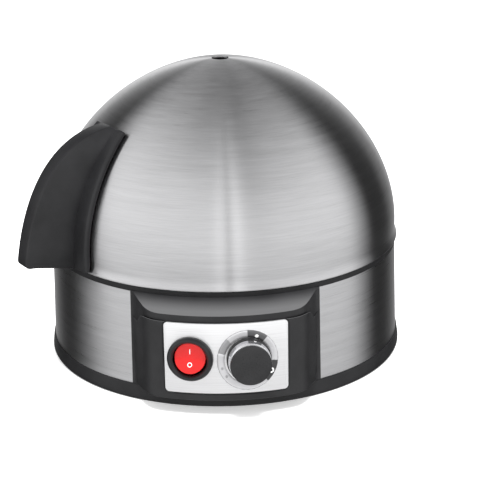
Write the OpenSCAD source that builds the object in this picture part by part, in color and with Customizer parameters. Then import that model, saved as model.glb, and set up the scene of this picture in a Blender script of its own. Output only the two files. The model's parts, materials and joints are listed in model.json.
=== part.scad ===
// Electric egg cooker for seven eggs: steam dome, steel band, control housing and egg tray.
// The origin is on the floor at the body's axis, +Z is up and the controls face -Y.

/* [Body] */
// Outer radius of the steel band at its top edge
body_r = 93; // [92:0.25:94]
// Height of the black foot ring
skirt_h = 8; // [7.5:0.25:8.5]
// Height of the band's top edge
band_top = 57.5; // [57:0.25:58.5]
// Sheet thickness of the steel band
band_t = 0.8; // [0.6:0.1:1]

/* [Lid] */
// Height of the dome above its straight rim
dome_h = 88; // [84:1:94]
// Fullness of the dome: 2 is an ellipse, less is more pointed
dome_power = 1.89; // [1.8:0.01:2.1]
// Sheet thickness of the lid
lid_t = 0.7; // [0.5:0.1:0.9]
// Diameter of the steam vent
vent_d = 9; // [7:0.5:11]

/* [Lid handle] */
// Angle of the handle from the left side towards the front
handle_angle = 32; // [26:1:36]
// Thickness of the handle's fin
handle_t = 14; // [12:0.5:17]
// Angle of the dome that the handle's saddle covers
saddle_angle = 23; // [20:1:28]

/* [Control panel] */
// Distance from the body's axis to the front of the control housing
panel_out = 106; // [105:0.25:107]
// Height of the crease above the fascia
crease_z = 51.7; // [51:0.1:52.5]
// Height of the switch's and the dial's centres
controls_z = 30.5; // [29.5:0.25:31.5]
// Sideways place of the switch
switch_x = -17.7; // [-19:0.1:-17]
// Sideways place of the dial
dial_x = 10.9; // [10:0.1:12]
// Outer diameter of the switch's bezel
bezel_d = 23; // [22.5:0.1:24]
// Outer diameter of the dial's skirt
dial_d = 22.2; // [21.5:0.1:23]

/* [Egg tray] */
// Number of eggs
egg_count = 7; // [5:1:7]
// Diameter of each egg's hole
egg_d = 34; // [30:0.5:35]
// Radius of the circle that the holes lie on
egg_ring_r = 52; // [51.5:0.25:53]

/* [Cord inlet] */
// Bore of the rear gland
gland_bore_d = 7.5; // [6:0.1:8]
// Height of the gland's axis
gland_z = 20; // [19:0.5:24]

/* [Hidden] */
$fn = 96;

// Clearance between pieces of one body, and between pieces that move apart
close_gap = 0.1;
free_gap = 0.3;

// Foot ring and bottom cover
skirt_r = body_r + 2.6;
skirt_top_r = body_r + 1.5;
cover_r = body_r - 2.4;
cover_z = 2;
cover_t = 2;
cover_top = cover_z + cover_t;
foot_ring_r = 70;
foot_r = 7;

// Screw posts
post_ring_r = 84;
post_r = 4;
pilot_r = 1.5;
post_angles = [45, 135, 225, 315];
housing_posts = [[-34, -76], [34, -76]];

// Steel band: a slight cone, cut away behind the control housing
band_foot_r = body_r + 1.2;
band_gap_half = 29.3;

// Collar and heating plate
collar_top = band_top + 3;
collar_lip_top = collar_top + 3.5;
plate_ledge_z = collar_top - 0.5;
seal_t = 0.8;
plate_rim_z = plate_ledge_z + seal_t;
plate_t = 0.8;
plate_floor_z = 50;
plate_r = body_r - 5.2;

// Heater under the plate
element_r = 54;
element_tube_r = 3.9;
element_z = plate_floor_z - element_tube_r - close_gap;
element_gap = 20;
clamp_z = 40.5;
clamp_t = 1.6;
shield_z = 36;
stud_r = 2;
nut_r = 4;

// Lid
rim_z = collar_top + free_gap;
rim_flare_h = 5;
dome_z = 69.5;
lip_r = body_r + 1.1;
hem_r = body_r - 1;

// Handle screws: their angles in the dome's section, and how far each goes into the handle
screw_angles = [22, 38];
screw_grip = [10, 8];

// Egg tray
tray_z = collar_lip_top + free_gap;
tray_t = 2;
tray_r = body_r - 3.5;
tray_top = tray_z + tray_t;
grip_z = 110;

// Control housing: its front is bent about an axis a little in front of the body's
bend_y = -9;
bend_r = panel_out + bend_y;
flank_foot = [47, -80.2];
flank_dir = [-0.422, -0.906];
wall_t = 2.6;
roof_t = 2.2;
scoop_top = 58;
fascia_w = 61;
fascia_h = 36.8;
fascia_t = 0.9;
fascia_corner = 2;
recess_t = 1;

// Rocker switch
barrel_r = 9.9;
rocker_hole_r = 8.6;
rocker_r = 7.8;
rocker_pivot = -2.5;
rocker_lean = 10;
pin_r = 1.2;

// Dial and regulator
bushing_r = 4.5;
shaft_r = 3;
knob_foot = 0.8;
knob_top = 10;
pointer_angle = 216;

// ---- outlines ----

function arc(cx, cy, r, a0, a1, n) =
    [for (i = [0:n]) let (a = a0 + (a1 - a0) * i / n) [cx + r * cos(a), cy + r * sin(a)]];

function bezier2(a, b, c, n) =
    [for (i = [0:n]) let (t = i / n) (1 - t) * (1 - t) * a + 2 * t * (1 - t) * b + t * t * c];

function bezier3(a, b, c, d, n) =
    [for (i = [0:n]) let (t = i / n, s = 1 - t)
        s * s * s * a + 3 * s * s * t * b + 3 * s * t * t * c + t * t * t * d];

function reversed(list) = [for (i = [len(list) - 1:-1:0]) list[i]];

function rounded_rect(w, h, r) = concat(
    arc(w / 2 - r, h / 2 - r, r, 0, 90, 6),
    arc(r - w / 2, h / 2 - r, r, 90, 180, 6),
    arc(r - w / 2, r - h / 2, r, 180, 270, 6),
    arc(w / 2 - r, r - h / 2, r, 270, 360, 6));

// A point of the dome's section at angle a, moved outwards by off along the surface's normal
function dome_normal(a) =
    let (r = pow(cos(a), 2 / dome_power), z = pow(sin(a), 2 / dome_power),
        n = [pow(r, dome_power - 1) / body_r, pow(z, dome_power - 1) / dome_h])
    n / norm(n);

function dome_point(a, off) =
    [body_r * pow(cos(a), 2 / dome_power), dome_z + dome_h * pow(sin(a), 2 / dome_power)]
    + off * dome_normal(a);

function dome_curve(off, a0, a1, n) =
    [for (i = [0:n]) dome_point(a0 + (a1 - a0) * i / n, off)];

// Where the flank's line meets the bent front, with both moved inwards by inset
function flank_start(inset) = flank_foot + inset * [flank_dir[1], -flank_dir[0]];

function housing_corner(inset) =
    let (w = flank_start(inset) - [0, bend_y], b = w * flank_dir,
        c = w * w - pow(bend_r - inset, 2))
    flank_start(inset) + (sqrt(b * b - c) - b) * flank_dir;

// Half of the housing's plan, from deep inside the band to the middle of the front
function housing_half(inset) =
    let (corner = housing_corner(inset),
        corner_a = atan2(corner[1] - bend_y, corner[0]),
        front_a = corner_a - 3.6,
        front = [0, bend_y] + (bend_r - inset) * [cos(front_a), sin(front_a)])
    concat([flank_start(inset) - 30 * flank_dir],
        bezier2(corner - 6.8 * flank_dir, corner, front, 8),
        arc(0, bend_y, bend_r - inset, front_a, -90, 10));

// ---- helpers ----

module tube(r_out, r_in, h) {
    difference() {
        cylinder(r = r_out, h = h);
        translate([0, 0, -1]) cylinder(r = r_in, h = h + 2);
    }
}

module at_posts() {
    for (a = post_angles) {
        rotate([0, 0, a]) translate([post_ring_r, 0, 0]) children();
    }
}

module at_housing_posts() {
    for (p = housing_posts) {
        translate([p[0], p[1], 0]) children();
    }
}

// Places its children on the bent front at sideways place x, with their +Z pointing outwards
module on_panel(x) {
    translate([0, bend_y, controls_z])
        rotate([0, 0, asin(x / bend_r)])
            translate([0, -bend_r, 0])
                rotate([90, 0, 0]) children();
}

module panel_hole(x, r) {
    on_panel(x) translate([0, 0, -8]) cylinder(r = r, h = 14);
}

// The band's outer form as a solid, grown by gap
module band_form(gap) {
    translate([0, 0, skirt_h])
        cylinder(r1 = band_foot_r + gap, r2 = body_r + gap, h = band_top - skirt_h);
}

// Children stand in the handle's plane: X outwards, Z up
module in_handle_plane() {
    rotate([0, 0, 180 + handle_angle]) children();
}

// Places its children on the dome in the handle's plane, with +Z along the outward normal
module on_dome(a) {
    point = dome_point(a, 0);
    normal = dome_normal(a);
    in_handle_plane()
        translate([point[0], 0, point[1]])
            rotate([0, 90 - atan2(normal[1], normal[0]), 0]) children();
}

// ---- base ----

module base_skirt() {
    color([0.1, 0.1, 0.11])
        rotate_extrude()
            polygon([[cover_r + 0.2, 0], [skirt_r - 0.6, 0], [skirt_r, 0.7], [skirt_r, 2.5],
                [skirt_top_r + 0.3, skirt_h - 0.4], [skirt_top_r, skirt_h],
                [body_r - 4.4, skirt_h], [body_r - 4.4, cover_top], [cover_r + 0.2, cover_top]]);
}

module bottom_cover() {
    slot_w = 4;
    color([0.14, 0.14, 0.15])
        difference() {
            union() {
                translate([0, 0, cover_z]) cylinder(r = cover_r, h = cover_t);
                for (x = [-20, 20]) {
                    translate([x, 62, cover_top]) cylinder(r = 3, h = 3);
                }
                for (x = [-26, 26], y = [-56, -28]) {
                    translate([x, y, cover_top]) cylinder(r = 2.5, h = 8);
                }
            }
            at_posts() cylinder(r = 1.7, h = 10);
            at_housing_posts() cylinder(r = 1.7, h = 10);
            for (i = [-3:3]) {
                translate([i * 10 - slot_w / 2, -14, 0]) cube([slot_w, 28, 10]);
            }
        }
}

module rubber_feet() {
    color([0.2, 0.2, 0.2])
        for (a = post_angles) {
            rotate([0, 0, a]) translate([foot_ring_r, 0, 0]) {
                cylinder(r1 = foot_r - 0.5, r2 = foot_r, h = 0.8);
                translate([0, 0, 0.8]) cylinder(r = foot_r, h = cover_z - 0.8);
            }
        }
}

module base_screw() {
    head_r = 3.1;
    difference() {
        union() {
            translate([0, 0, 0.7]) cylinder(r1 = 2.4, r2 = head_r, h = 0.5);
            translate([0, 0, 1.2]) cylinder(r = head_r, h = cover_z - 1.2);
            translate([0, 0, cover_z - 0.1]) cylinder(r = pilot_r - close_gap, h = 9);
        }
        translate([-2, -0.4, 0]) cube([4, 0.8, 1.3]);
    }
}

module base_screws() {
    color([0.7, 0.7, 0.7]) {
        at_posts() base_screw();
        at_housing_posts() base_screw();
    }
}

module steel_band() {
    band_h = band_top - skirt_h;
    color([0.75, 0.75, 0.76])
        difference() {
            rotate([0, 0, band_gap_half - 90])
                rotate_extrude(angle = 360 - 2 * band_gap_half)
                    polygon([[band_foot_r - band_t, skirt_h], [band_foot_r, skirt_h],
                        [body_r, band_top], [body_r - band_t, band_top]]);
            translate([0, body_r + 10, 0]) rotate([90, 0, 0])
                linear_extrude(20) gland_notch(0);
        }
}

// The notch that lets the gland slide in from below, seen from behind, made smaller by inset
module gland_notch(inset) {
    half_w = 6.5 - inset;
    top = gland_z + 6 - inset;
    polygon([[-half_w, skirt_h + inset], [-half_w, gland_z + 2], [-4, top], [4, top],
        [half_w, gland_z + 2], [half_w, skirt_h + inset]]);
}

module collar() {
    color([0.1, 0.1, 0.11])
        difference() {
            union() {
                rotate_extrude()
                    polygon([[body_r, band_top], [body_r, collar_top - 0.3],
                        [body_r - 0.3, collar_top], [body_r - 3, collar_top],
                        [body_r - 3, collar_lip_top], [body_r - 5, collar_lip_top],
                        [body_r - 5, plate_ledge_z], [body_r - 9, plate_ledge_z],
                        [body_r - 9, band_top], [body_r - 2.8, band_top],
                        [body_r - 2.8, band_top - 7.5], [body_r - 1, band_top - 7.5],
                        [body_r - 1, band_top]]);
                at_posts() translate([0, 0, cover_top])
                    cylinder(r = post_r, h = band_top - cover_top + 0.5);
            }
            at_posts() translate([0, 0, cover_top - 1]) cylinder(r = pilot_r, h = 20);
        }
}

module plate_seal() {
    color([0.85, 0.85, 0.83])
        translate([0, 0, plate_ledge_z]) tube(plate_r, body_r - 8.8, seal_t);
}

module heating_plate() {
    rim = plate_rim_z;
    t = plate_t;
    color([0.72, 0.72, 0.72])
        union() {
            rotate_extrude()
                polygon([[0, plate_floor_z], [70, plate_floor_z], [73.4, plate_floor_z + 1],
                    [75.9, 53.6], [77.7, rim - 1], [79.8, rim], [plate_r, rim],
                    [plate_r, rim + t], [79.5, rim + t], [76.9, rim - 0.6], [75.1, 53.9],
                    [73, plate_floor_z + t + 0.9], [70, plate_floor_z + t],
                    [0, plate_floor_z + t]]);
            translate([0, 0, shield_z - 5]) cylinder(r = stud_r, h = plate_floor_z - shield_z + 5.2);
        }
}

module heating_element() {
    end_h = element_z - 26;
    color([0.45, 0.42, 0.4]) {
        rotate([0, 0, 90 + element_gap])
            rotate_extrude(angle = 360 - 2 * element_gap)
                translate([element_r, 0, 0]) translate([0, element_z]) circle(r = element_tube_r);
        for (side = [-1, 1]) {
            rotate([0, 0, 90 + side * element_gap]) translate([element_r, 0, element_z - end_h])
                cylinder(r = element_tube_r - 0.02, h = end_h);
        }
    }
}

module element_clamp() {
    bar_l = 124;
    bar_w = 16;
    color([0.6, 0.6, 0.58])
        difference() {
            union() {
                translate([-bar_l / 2, -bar_w / 2, clamp_z]) cube([bar_l, bar_w, clamp_t]);
                for (side = [-1, 1]) {
                    translate([side * (bar_l / 2 - clamp_t / 2) - clamp_t / 2, -bar_w / 2, clamp_z])
                        cube([clamp_t, bar_w, 4.5]);
                }
            }
            cylinder(r = stud_r + close_gap, h = 60);
        }
}

module stud_nuts() {
    color([0.7, 0.68, 0.6])
        for (z = [[shield_z - 3.2, shield_z], [shield_z + 0.8, clamp_z]]) {
            difference() {
                translate([0, 0, z[0]]) cylinder(r = nut_r, h = z[1] - z[0], $fn = 6);
                translate([0, 0, z[0] - 1]) cylinder(r = stud_r + 0.05, h = z[1] - z[0] + 2, $fn = 48);
            }
        }
}

module thermostat() {
    color([0.85, 0.83, 0.78])
        translate([0, 26, 0]) {
            translate([0, 0, 43]) cylinder(r = 8, h = plate_floor_z - 43 - close_gap);
            for (x = [-4.5, 4.5]) {
                translate([x - 2, -0.4, 38]) cube([4, 0.8, 5.2]);
            }
        }
}

module thermal_fuse() {
    color([0.8, 0.75, 0.6])
        translate([0, -26, plate_floor_z - 2.4]) rotate([0, 90, 0]) {
            cylinder(r = 2.2, h = 20, center = true);
            cylinder(r = 0.6, h = 34, center = true);
        }
}

module heat_shield() {
    shield_r = 74;
    color([0.8, 0.8, 0.8])
        difference() {
            rotate_extrude()
                polygon([[stud_r + close_gap, shield_z], [shield_r, shield_z],
                    [shield_r, shield_z + 4], [shield_r - 0.8, shield_z + 4],
                    [shield_r - 0.8, shield_z + 0.8], [stud_r + close_gap, shield_z + 0.8]]);
            for (side = [-1, 1]) {
                rotate([0, 0, 90 + side * element_gap]) translate([element_r, 0, 30])
                    cylinder(r = element_tube_r + 1, h = 10);
            }
            translate([-9, 21, 30]) cube([18, 10, 10]);
        }
}

module terminal_block() {
    color([0.9, 0.9, 0.85])
        difference() {
            translate([-24, 54, cover_top + 3]) cube([48, 16, 12]);
            for (i = [-1:1], y = [58, 66]) {
                translate([i * 12, y, cover_top + 8]) cylinder(r = 2, h = 12);
            }
        }
}

module cord_gland() {
    outer_y = body_r + 3.5;
    color([0.1, 0.1, 0.11])
        difference() {
            union() {
                translate([0, body_r - 5, gland_z]) rotate([-90, 0, 0]) cylinder(r = 7.6, h = 4.1);
                translate([0, body_r + 1.3, gland_z]) rotate([-90, 0, 0]) cylinder(r = 8, h = 1.2);
                translate([0, body_r + 2.5, gland_z]) rotate([-90, 0, 0]) cylinder(r1 = 8, r2 = 7, h = 1);
                translate([-8, body_r + 1.3, skirt_h + 0.1]) cube([16, 1.2, gland_z - skirt_h]);
                translate([0, body_r + 1.35, 0]) rotate([90, 0, 0])
                    linear_extrude(2.4) gland_notch(0.15);
            }
            translate([0, body_r - 6, gland_z]) rotate([-90, 0, 0])
                cylinder(d = gland_bore_d, h = outer_y - body_r + 10);
        }
}

// ---- control housing ----

module housing_plan(inset) {
    right = housing_half(inset);
    left = [for (p = right) [-p[0], p[1]]];
    polygon(concat(left, [for (i = [len(right) - 2:-1:0]) right[i]]));
}

// Everything below the concave slope that runs from the collar down to the crease
module below_scoop(drop) {
    slope = bezier2([body_r + close_gap, scoop_top - drop], [body_r + 5.5, scoop_top - 3.5 - drop],
        [panel_out, crease_z - drop], 6);
    rotate_extrude()
        polygon(concat([[0, 0], [panel_out + 8, 0], [panel_out + 8, crease_z - 3.2 - drop]],
            reversed(slope), [[0, scoop_top - drop]]));
}

// A rounded plate bent to the front, between two depths below the housing's surface
module bent_plate(w, h, corner, deep, shallow) {
    intersection() {
        translate([0, bend_y, 0])
            difference() {
                cylinder(r = bend_r - shallow, h = 60);
                translate([0, 0, -1]) cylinder(r = bend_r - deep, h = 62);
            }
        translate([0, -60, controls_z]) rotate([90, 0, 0])
            linear_extrude(60) polygon(rounded_rect(w, h, corner));
    }
}

module control_housing() {
    tab_w = 10;
    tab_t = 2.2;
    tab_z = skirt_h + 0.2;
    color([0.13, 0.13, 0.14])
        difference() {
            union() {
                difference() {
                    intersection() {
                        translate([0, 0, skirt_h]) linear_extrude(60) housing_plan(0);
                        below_scoop(0);
                    }
                    intersection() {
                        translate([0, 0, skirt_h + roof_t]) linear_extrude(60)
                            housing_plan(wall_t);
                        below_scoop(roof_t);
                    }
                    band_form(close_gap);
                    translate([0, 0, skirt_h - 1]) cylinder(r = body_r + close_gap, h = 60);
                }
                for (p = housing_posts) {
                    translate([p[0] - tab_w / 2, -97, tab_z]) cube([tab_w, 21, tab_t]);
                    translate([p[0], p[1], cover_top])
                        cylinder(r = post_r, h = tab_z + tab_t - cover_top);
                }
            }
            at_housing_posts() cylinder(r = pilot_r, h = 20);
            bent_plate(fascia_w + 0.8, fascia_h + 0.8, fascia_corner + 0.4, recess_t, -5);
            panel_hole(switch_x, barrel_r + close_gap);
            panel_hole(dial_x, bushing_r + close_gap);
        }
}

module fascia_plate() {
    color([0.8, 0.8, 0.82])
        difference() {
            bent_plate(fascia_w, fascia_h, fascia_corner, fascia_t, 0);
            panel_hole(switch_x, barrel_r + close_gap);
            panel_hole(dial_x, bushing_r + close_gap);
        }
}

module switch_body() {
    bezel_r = bezel_d / 2;
    bezel_h = 2.2;
    color([0.08, 0.08, 0.08])
        on_panel(switch_x)
            difference() {
                union() {
                    translate([0, 0, -15]) cylinder(r = barrel_r, h = 15.5);
                    difference() {
                        translate([0, 0, -1]) rotate_extrude()
                            polygon([[0, 0], [bezel_r, 0], [bezel_r, 2.1],
                                [bezel_r - 0.4, 2.8], [bezel_r - 1, bezel_h + 1], [0, bezel_h + 1]]);
                        translate([0, 0, -bend_r]) rotate([90, 0, 0])
                            cylinder(r = bend_r + 0.02, h = 60, center = true);
                    }
                }
                translate([0, 0, -8]) cylinder(r = rocker_hole_r, h = 20);
                translate([0, 0, bezel_h - 0.8])
                    cylinder(r1 = rocker_hole_r, r2 = rocker_hole_r + 1, h = 1);
                translate([0, 0, rocker_pivot]) rotate([0, 90, 0])
                    cylinder(r = pin_r + 0.05, h = 19, center = true);
            }
}

module switch_terminals() {
    color([0.8, 0.7, 0.4])
        on_panel(switch_x)
            for (i = [-1:1]) {
                translate([i * 5 - 0.4, -3, -23]) cube([0.8, 6, 8]);
            }
}

module rocker() {
    face_low = 3.1;
    face_high = face_low + rocker_r * tan(rocker_lean);
    color([0.85, 0.08, 0.08])
        on_panel(switch_x)
            translate([0, 0, rocker_pivot]) rotate([-rocker_lean, 0, 0]) {
                intersection() {
                    translate([0, 0, -1]) cylinder(r = rocker_r, h = 10);
                    rotate([90, 0, 90]) translate([0, 0, -10]) linear_extrude(20)
                        polygon([[-rocker_r, -1], [rocker_r, -1], [rocker_r, face_high],
                            [0, face_low], [-rocker_r, face_high]]);
                }
                translate([0, 0, -4]) cylinder(r = 5, h = 5);
                rotate([0, 90, 0]) cylinder(r = pin_r, h = 18.6, center = true);
            }
}

module regulator_body() {
    box_w = 26;
    color([0.2, 0.3, 0.25])
        on_panel(dial_x)
            difference() {
                union() {
                    translate([-box_w / 2, -box_w / 2, -wall_t - 15.2]) cube([box_w, box_w, 14]);
                    translate([0, 0, -wall_t - 2]) cylinder(r = bushing_r, h = wall_t + 4.4);
                    for (x = [-8, 0, 8]) {
                        translate([x - 2, -12, -wall_t - 21]) cube([4, 0.8, 6.2]);
                    }
                }
                translate([0, 0, -12]) cylinder(r = shaft_r + 0.05, h = 30);
            }
}

module regulator_nut() {
    color([0.7, 0.7, 0.7])
        on_panel(dial_x)
            difference() {
                translate([0, 0, 0.1]) cylinder(r = 6.2, h = 1.8, $fn = 6);
                translate([0, 0, -1]) cylinder(r = bushing_r + 0.05, h = 4);
            }
}

module regulator_shaft() {
    color([0.6, 0.6, 0.6])
        on_panel(dial_x) translate([0, 0, -11.8]) cylinder(r = shaft_r, h = 19.5);
}

module dial_knob() {
    foot_r = dial_d / 2;
    cap_r = foot_r - 0.85;
    ring_seat_r = cap_r - 0.45;
    color([0.07, 0.07, 0.08])
        on_panel(dial_x)
            difference() {
                rotate_extrude()
                    polygon([[7.5, knob_foot], [foot_r, knob_foot], [foot_r, 2.6],
                        [foot_r - 0.4, 3], [ring_seat_r, 3], [ring_seat_r, 8.4], [cap_r, 8.4],
                        [cap_r, 9.5], [cap_r - 0.5, knob_top], [0, knob_top], [0, 8],
                        [shaft_r + 0.03, 8], [shaft_r + 0.03, 3.6], [7.5, 3.6]]);
                rotate([0, 0, pointer_angle]) translate([cap_r + 0.5, 0, 8.5])
                    cylinder(r = 1.3, h = 5, $fn = 32);
            }
}

module dial_ring() {
    color([0.85, 0.85, 0.87])
        on_panel(dial_x) translate([0, 0, 3.02])
            tube(dial_d / 2 - 0.45, dial_d / 2 - 1.28, 5.36);
}

module circuit_board() {
    board_z = cover_top + 8;
    color([0.1, 0.4, 0.2]) {
        translate([-30, -60, board_z]) cube([60, 36, 1.6]);
        translate([-26, -52, board_z + 1.5]) cube([18, 14, 13]);
        translate([-2, -50, board_z + 1.5]) cylinder(r = 5, h = 12);
        for (i = [0:3]) {
            translate([-20 + i * 7, -31, board_z + 1.5]) cube([4, 3, 2.5]);
        }
    }
}

module buzzer() {
    color([0.1, 0.1, 0.1])
        translate([19, -42, cover_top + 9.6])
            difference() {
                cylinder(r = 7, h = 8);
                translate([0, 0, 5]) cylinder(r = 1.5, h = 10);
            }
}

// ---- lid ----

module lid_shell() {
    steps = 28;
    color([0.78, 0.78, 0.79])
        difference() {
            rotate_extrude()
                polygon(concat(
                    [[hem_r, rim_z], [lip_r, rim_z], [body_r, rim_z + rim_flare_h]],
                    dome_curve(0, 0, 90, steps),
                    dome_curve(-lid_t, 90, 0, steps),
                    [[body_r - lid_t, rim_z + rim_flare_h], [lip_r - lid_t, rim_z + lid_t],
                    [hem_r, rim_z + lid_t]]));
            translate([0, 0, dome_z]) cylinder(d = vent_d, h = dome_h + 10);
            for (a = screw_angles) {
                on_dome(a) translate([0, 0, -3]) cylinder(r = 2.1, h = 6);
            }
        }
}

module lid_handle() {
    root_r = 60;
    root_z = rim_z + rim_flare_h + 0.4;
    top_curve = bezier3([69, 132], [94, 130], [114.5, 110], [121, 68], 18);
    heel = bezier2([121, 68], [120.8, 65.1], [116.5, 64.9], 6);
    saddle_top = 43.7;
    saddle_t = 3.4;
    outside = body_r + 0.15;
    color([0.25, 0.25, 0.26])
        difference() {
            union() {
                in_handle_plane() rotate([90, 0, 0])
                    linear_extrude(handle_t, center = true)
                        polygon(concat([[root_r, 128]], top_curve, heel,
                            [[104.6, 63.4], [96.8, 61.9], [94.9, 61.7], [94.2, root_z], [root_r, root_z]]));
                rotate([0, 0, 180 + handle_angle - saddle_angle / 2])
                    rotate_extrude(angle = saddle_angle)
                        polygon(concat(
                            [[outside + 1, rim_z + 0.9], [outside + saddle_t, rim_z + 0.9]],
                            dome_curve(saddle_t, 0, saddle_top, 16),
                            dome_curve(0.15, saddle_top, 0, 16),
                            [[outside, rim_z + rim_flare_h]]));
            }
            rotate_extrude()
                polygon(concat([[0, rim_z + rim_flare_h], [outside, rim_z + rim_flare_h]],
                    dome_curve(0.15, 0, 90, 28)));
            for (i = [0:1]) {
                on_dome(screw_angles[i]) translate([0, 0, -1])
                    cylinder(r = 1.95, h = screw_grip[i] + 1.5);
            }
        }
}

module handle_screws() {
    color([0.7, 0.7, 0.7])
        for (i = [0:1]) {
            on_dome(screw_angles[i]) {
                translate([0, 0, -2]) cylinder(r = 1.9, h = screw_grip[i] + 2);
                difference() {
                    translate([0, 0, -4.4]) cylinder(r1 = 3, r2 = 3.6, h = 2.4);
                    translate([-2.5, -0.45, -5]) cube([5, 0.9, 1.6]);
                    translate([-0.45, -2.5, -5]) cube([0.9, 5, 1.6]);
                }
            }
        }
}

module handle_washers() {
    color([0.8, 0.8, 0.8])
        for (a = screw_angles) {
            on_dome(a) translate([0, 0, -1.95]) tube(5, 2.1, 1);
        }
}

// ---- egg tray ----

module at_eggs() {
    for (i = [0:egg_count - 1]) {
        rotate([0, 0, 90 + i * 360 / egg_count]) translate([egg_ring_r, 0, 0]) children();
    }
}

module egg_tray() {
    cup_h = 6;
    cup_wall = 1.2;
    color([0.16, 0.16, 0.17])
        difference() {
            union() {
                translate([0, 0, tray_z]) cylinder(r = tray_r, h = tray_t);
                translate([0, 0, tray_z - 2.2]) tube(body_r - 5.5, body_r - 7, 2.4);
                at_eggs() translate([0, 0, tray_z - cup_h])
                    cylinder(r = egg_d / 2 + cup_wall, h = cup_h + 0.2);
            }
            at_eggs() translate([0, 0, tray_z - cup_h - 1])
                cylinder(d = egg_d, h = cup_h + tray_t + 3);
            translate([0, 0, tray_z - 1]) cylinder(r = 2.1, h = 6);
            for (i = [0:5]) {
                rotate([0, 0, i * 60]) translate([22, 0, tray_z - 1]) cylinder(r = 2.5, h = 6);
            }
        }
}

module tray_handle() {
    ring_r = 17;
    finger_r = 10;
    grip_t = 9;
    color([0.16, 0.16, 0.17])
        difference() {
            union() {
                translate([0, 0, tray_top]) cylinder(r1 = 13, r2 = 8, h = 4);
                translate([0, 0, tray_top + 3]) cylinder(r = 5.5, h = grip_z - ring_r - tray_top);
                translate([0, 0, grip_z]) rotate([90, 0, 0])
                    cylinder(r = ring_r, h = grip_t, center = true);
            }
            translate([0, 0, grip_z]) rotate([90, 0, 0])
                cylinder(r = finger_r, h = 40, center = true);
            translate([0, 0, tray_top - 1]) cylinder(r = 1.95, h = 16);
        }
}

module tray_screw() {
    color([0.7, 0.7, 0.7])
        difference() {
            union() {
                translate([0, 0, tray_z - 2.3]) cylinder(r1 = 3.2, r2 = 4, h = 2.3);
                translate([0, 0, tray_z - 0.1]) cylinder(r = 1.9, h = 15);
            }
            translate([-3, -0.5, tray_z - 3]) cube([6, 1, 1.8]);
        }
}

base_skirt();
bottom_cover();
rubber_feet();
base_screws();
steel_band();
collar();
plate_seal();
heating_plate();
heating_element();
element_clamp();
stud_nuts();
thermostat();
thermal_fuse();
heat_shield();
terminal_block();
cord_gland();
control_housing();
fascia_plate();
switch_body();
switch_terminals();
rocker();
regulator_body();
regulator_nut();
regulator_shaft();
dial_knob();
dial_ring();
circuit_board();
buzzer();
lid_shell();
lid_handle();
handle_screws();
handle_washers();
egg_tray();
tray_handle();
tray_screw();
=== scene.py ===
import bmesh
import bpy
import json
import math
from mathutils import Matrix, Vector


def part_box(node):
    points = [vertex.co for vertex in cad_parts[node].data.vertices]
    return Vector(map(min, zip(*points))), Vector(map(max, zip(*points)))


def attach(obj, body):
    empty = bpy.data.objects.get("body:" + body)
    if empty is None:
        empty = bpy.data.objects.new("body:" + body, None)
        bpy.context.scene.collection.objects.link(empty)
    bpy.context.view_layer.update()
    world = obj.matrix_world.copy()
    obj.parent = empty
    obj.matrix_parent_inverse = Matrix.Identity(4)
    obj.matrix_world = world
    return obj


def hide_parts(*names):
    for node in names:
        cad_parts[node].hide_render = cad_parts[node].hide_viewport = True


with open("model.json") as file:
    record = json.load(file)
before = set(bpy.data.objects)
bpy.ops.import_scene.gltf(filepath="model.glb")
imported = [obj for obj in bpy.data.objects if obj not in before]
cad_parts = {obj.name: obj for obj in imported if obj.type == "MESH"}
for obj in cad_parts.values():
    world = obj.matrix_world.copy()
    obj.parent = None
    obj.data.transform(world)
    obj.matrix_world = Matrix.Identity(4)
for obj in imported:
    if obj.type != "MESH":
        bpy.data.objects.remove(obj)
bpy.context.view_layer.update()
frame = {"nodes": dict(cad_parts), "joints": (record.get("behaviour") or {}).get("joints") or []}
mm = 0.001
scene = bpy.context.scene
nodes = frame["nodes"]
joints = {joint["name"]: joint for joint in frame["joints"]}
print("frame loaded,", len(nodes), "nodes")


# Turns a bmesh into a smooth-shaded object with outward faces
def keepMesh(name, bm, material, sharpAngle=32):
    bmesh.ops.remove_doubles(bm, verts=bm.verts, dist=1e-7)
    bmesh.ops.recalc_face_normals(bm, faces=bm.faces)
    mesh = bpy.data.meshes.new(name)
    bm.to_mesh(mesh)
    bm.free()
    mesh.materials.append(material)
    mesh.shade_smooth()
    mesh.set_sharp_from_angle(angle=math.radians(sharpAngle))
    piece = bpy.data.objects.new(name, mesh)
    scene.collection.objects.link(piece)
    return piece


# Corners are (x, y, radius). Each one with a radius becomes a small curve
def rounded(corners, steps=5):
    points = []
    for i, (x, y, radius) in enumerate(corners):
        corner = Vector((x, y))
        if radius <= 0:
            points.append(corner)
            continue
        before = Vector(corners[i - 1][:2]) - corner
        after = Vector(corners[(i + 1) % len(corners)][:2]) - corner
        half = before.angle(after) / 2
        reach = min(radius / math.tan(half), before.length * 0.49, after.length * 0.49)
        start, end = corner + before.normalized() * reach, corner + after.normalized() * reach
        for k in range(steps + 1):
            t = k / steps
            points.append(start * (1 - t) ** 2 + corner * 2 * t * (1 - t) + end * t * t)
    return points


# Joins matching closed outlines into a skin, with a face over each end if it isn't closed
def sweepSections(bm, sections, closed):
    rings = [[bm.verts.new(p) for p in section] for section in sections]
    count = len(rings[0])
    last = len(rings) if closed else len(rings) - 1
    for i in range(last):
        one, two = rings[i], rings[(i + 1) % len(rings)]
        for k in range(count):
            corners = [one[k], one[(k + 1) % count], two[(k + 1) % count], two[k]]
            bm.faces.new(corners)
    if not closed:
        bm.faces.new(rings[0])
        bm.faces.new(reversed(rings[-1]))


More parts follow.
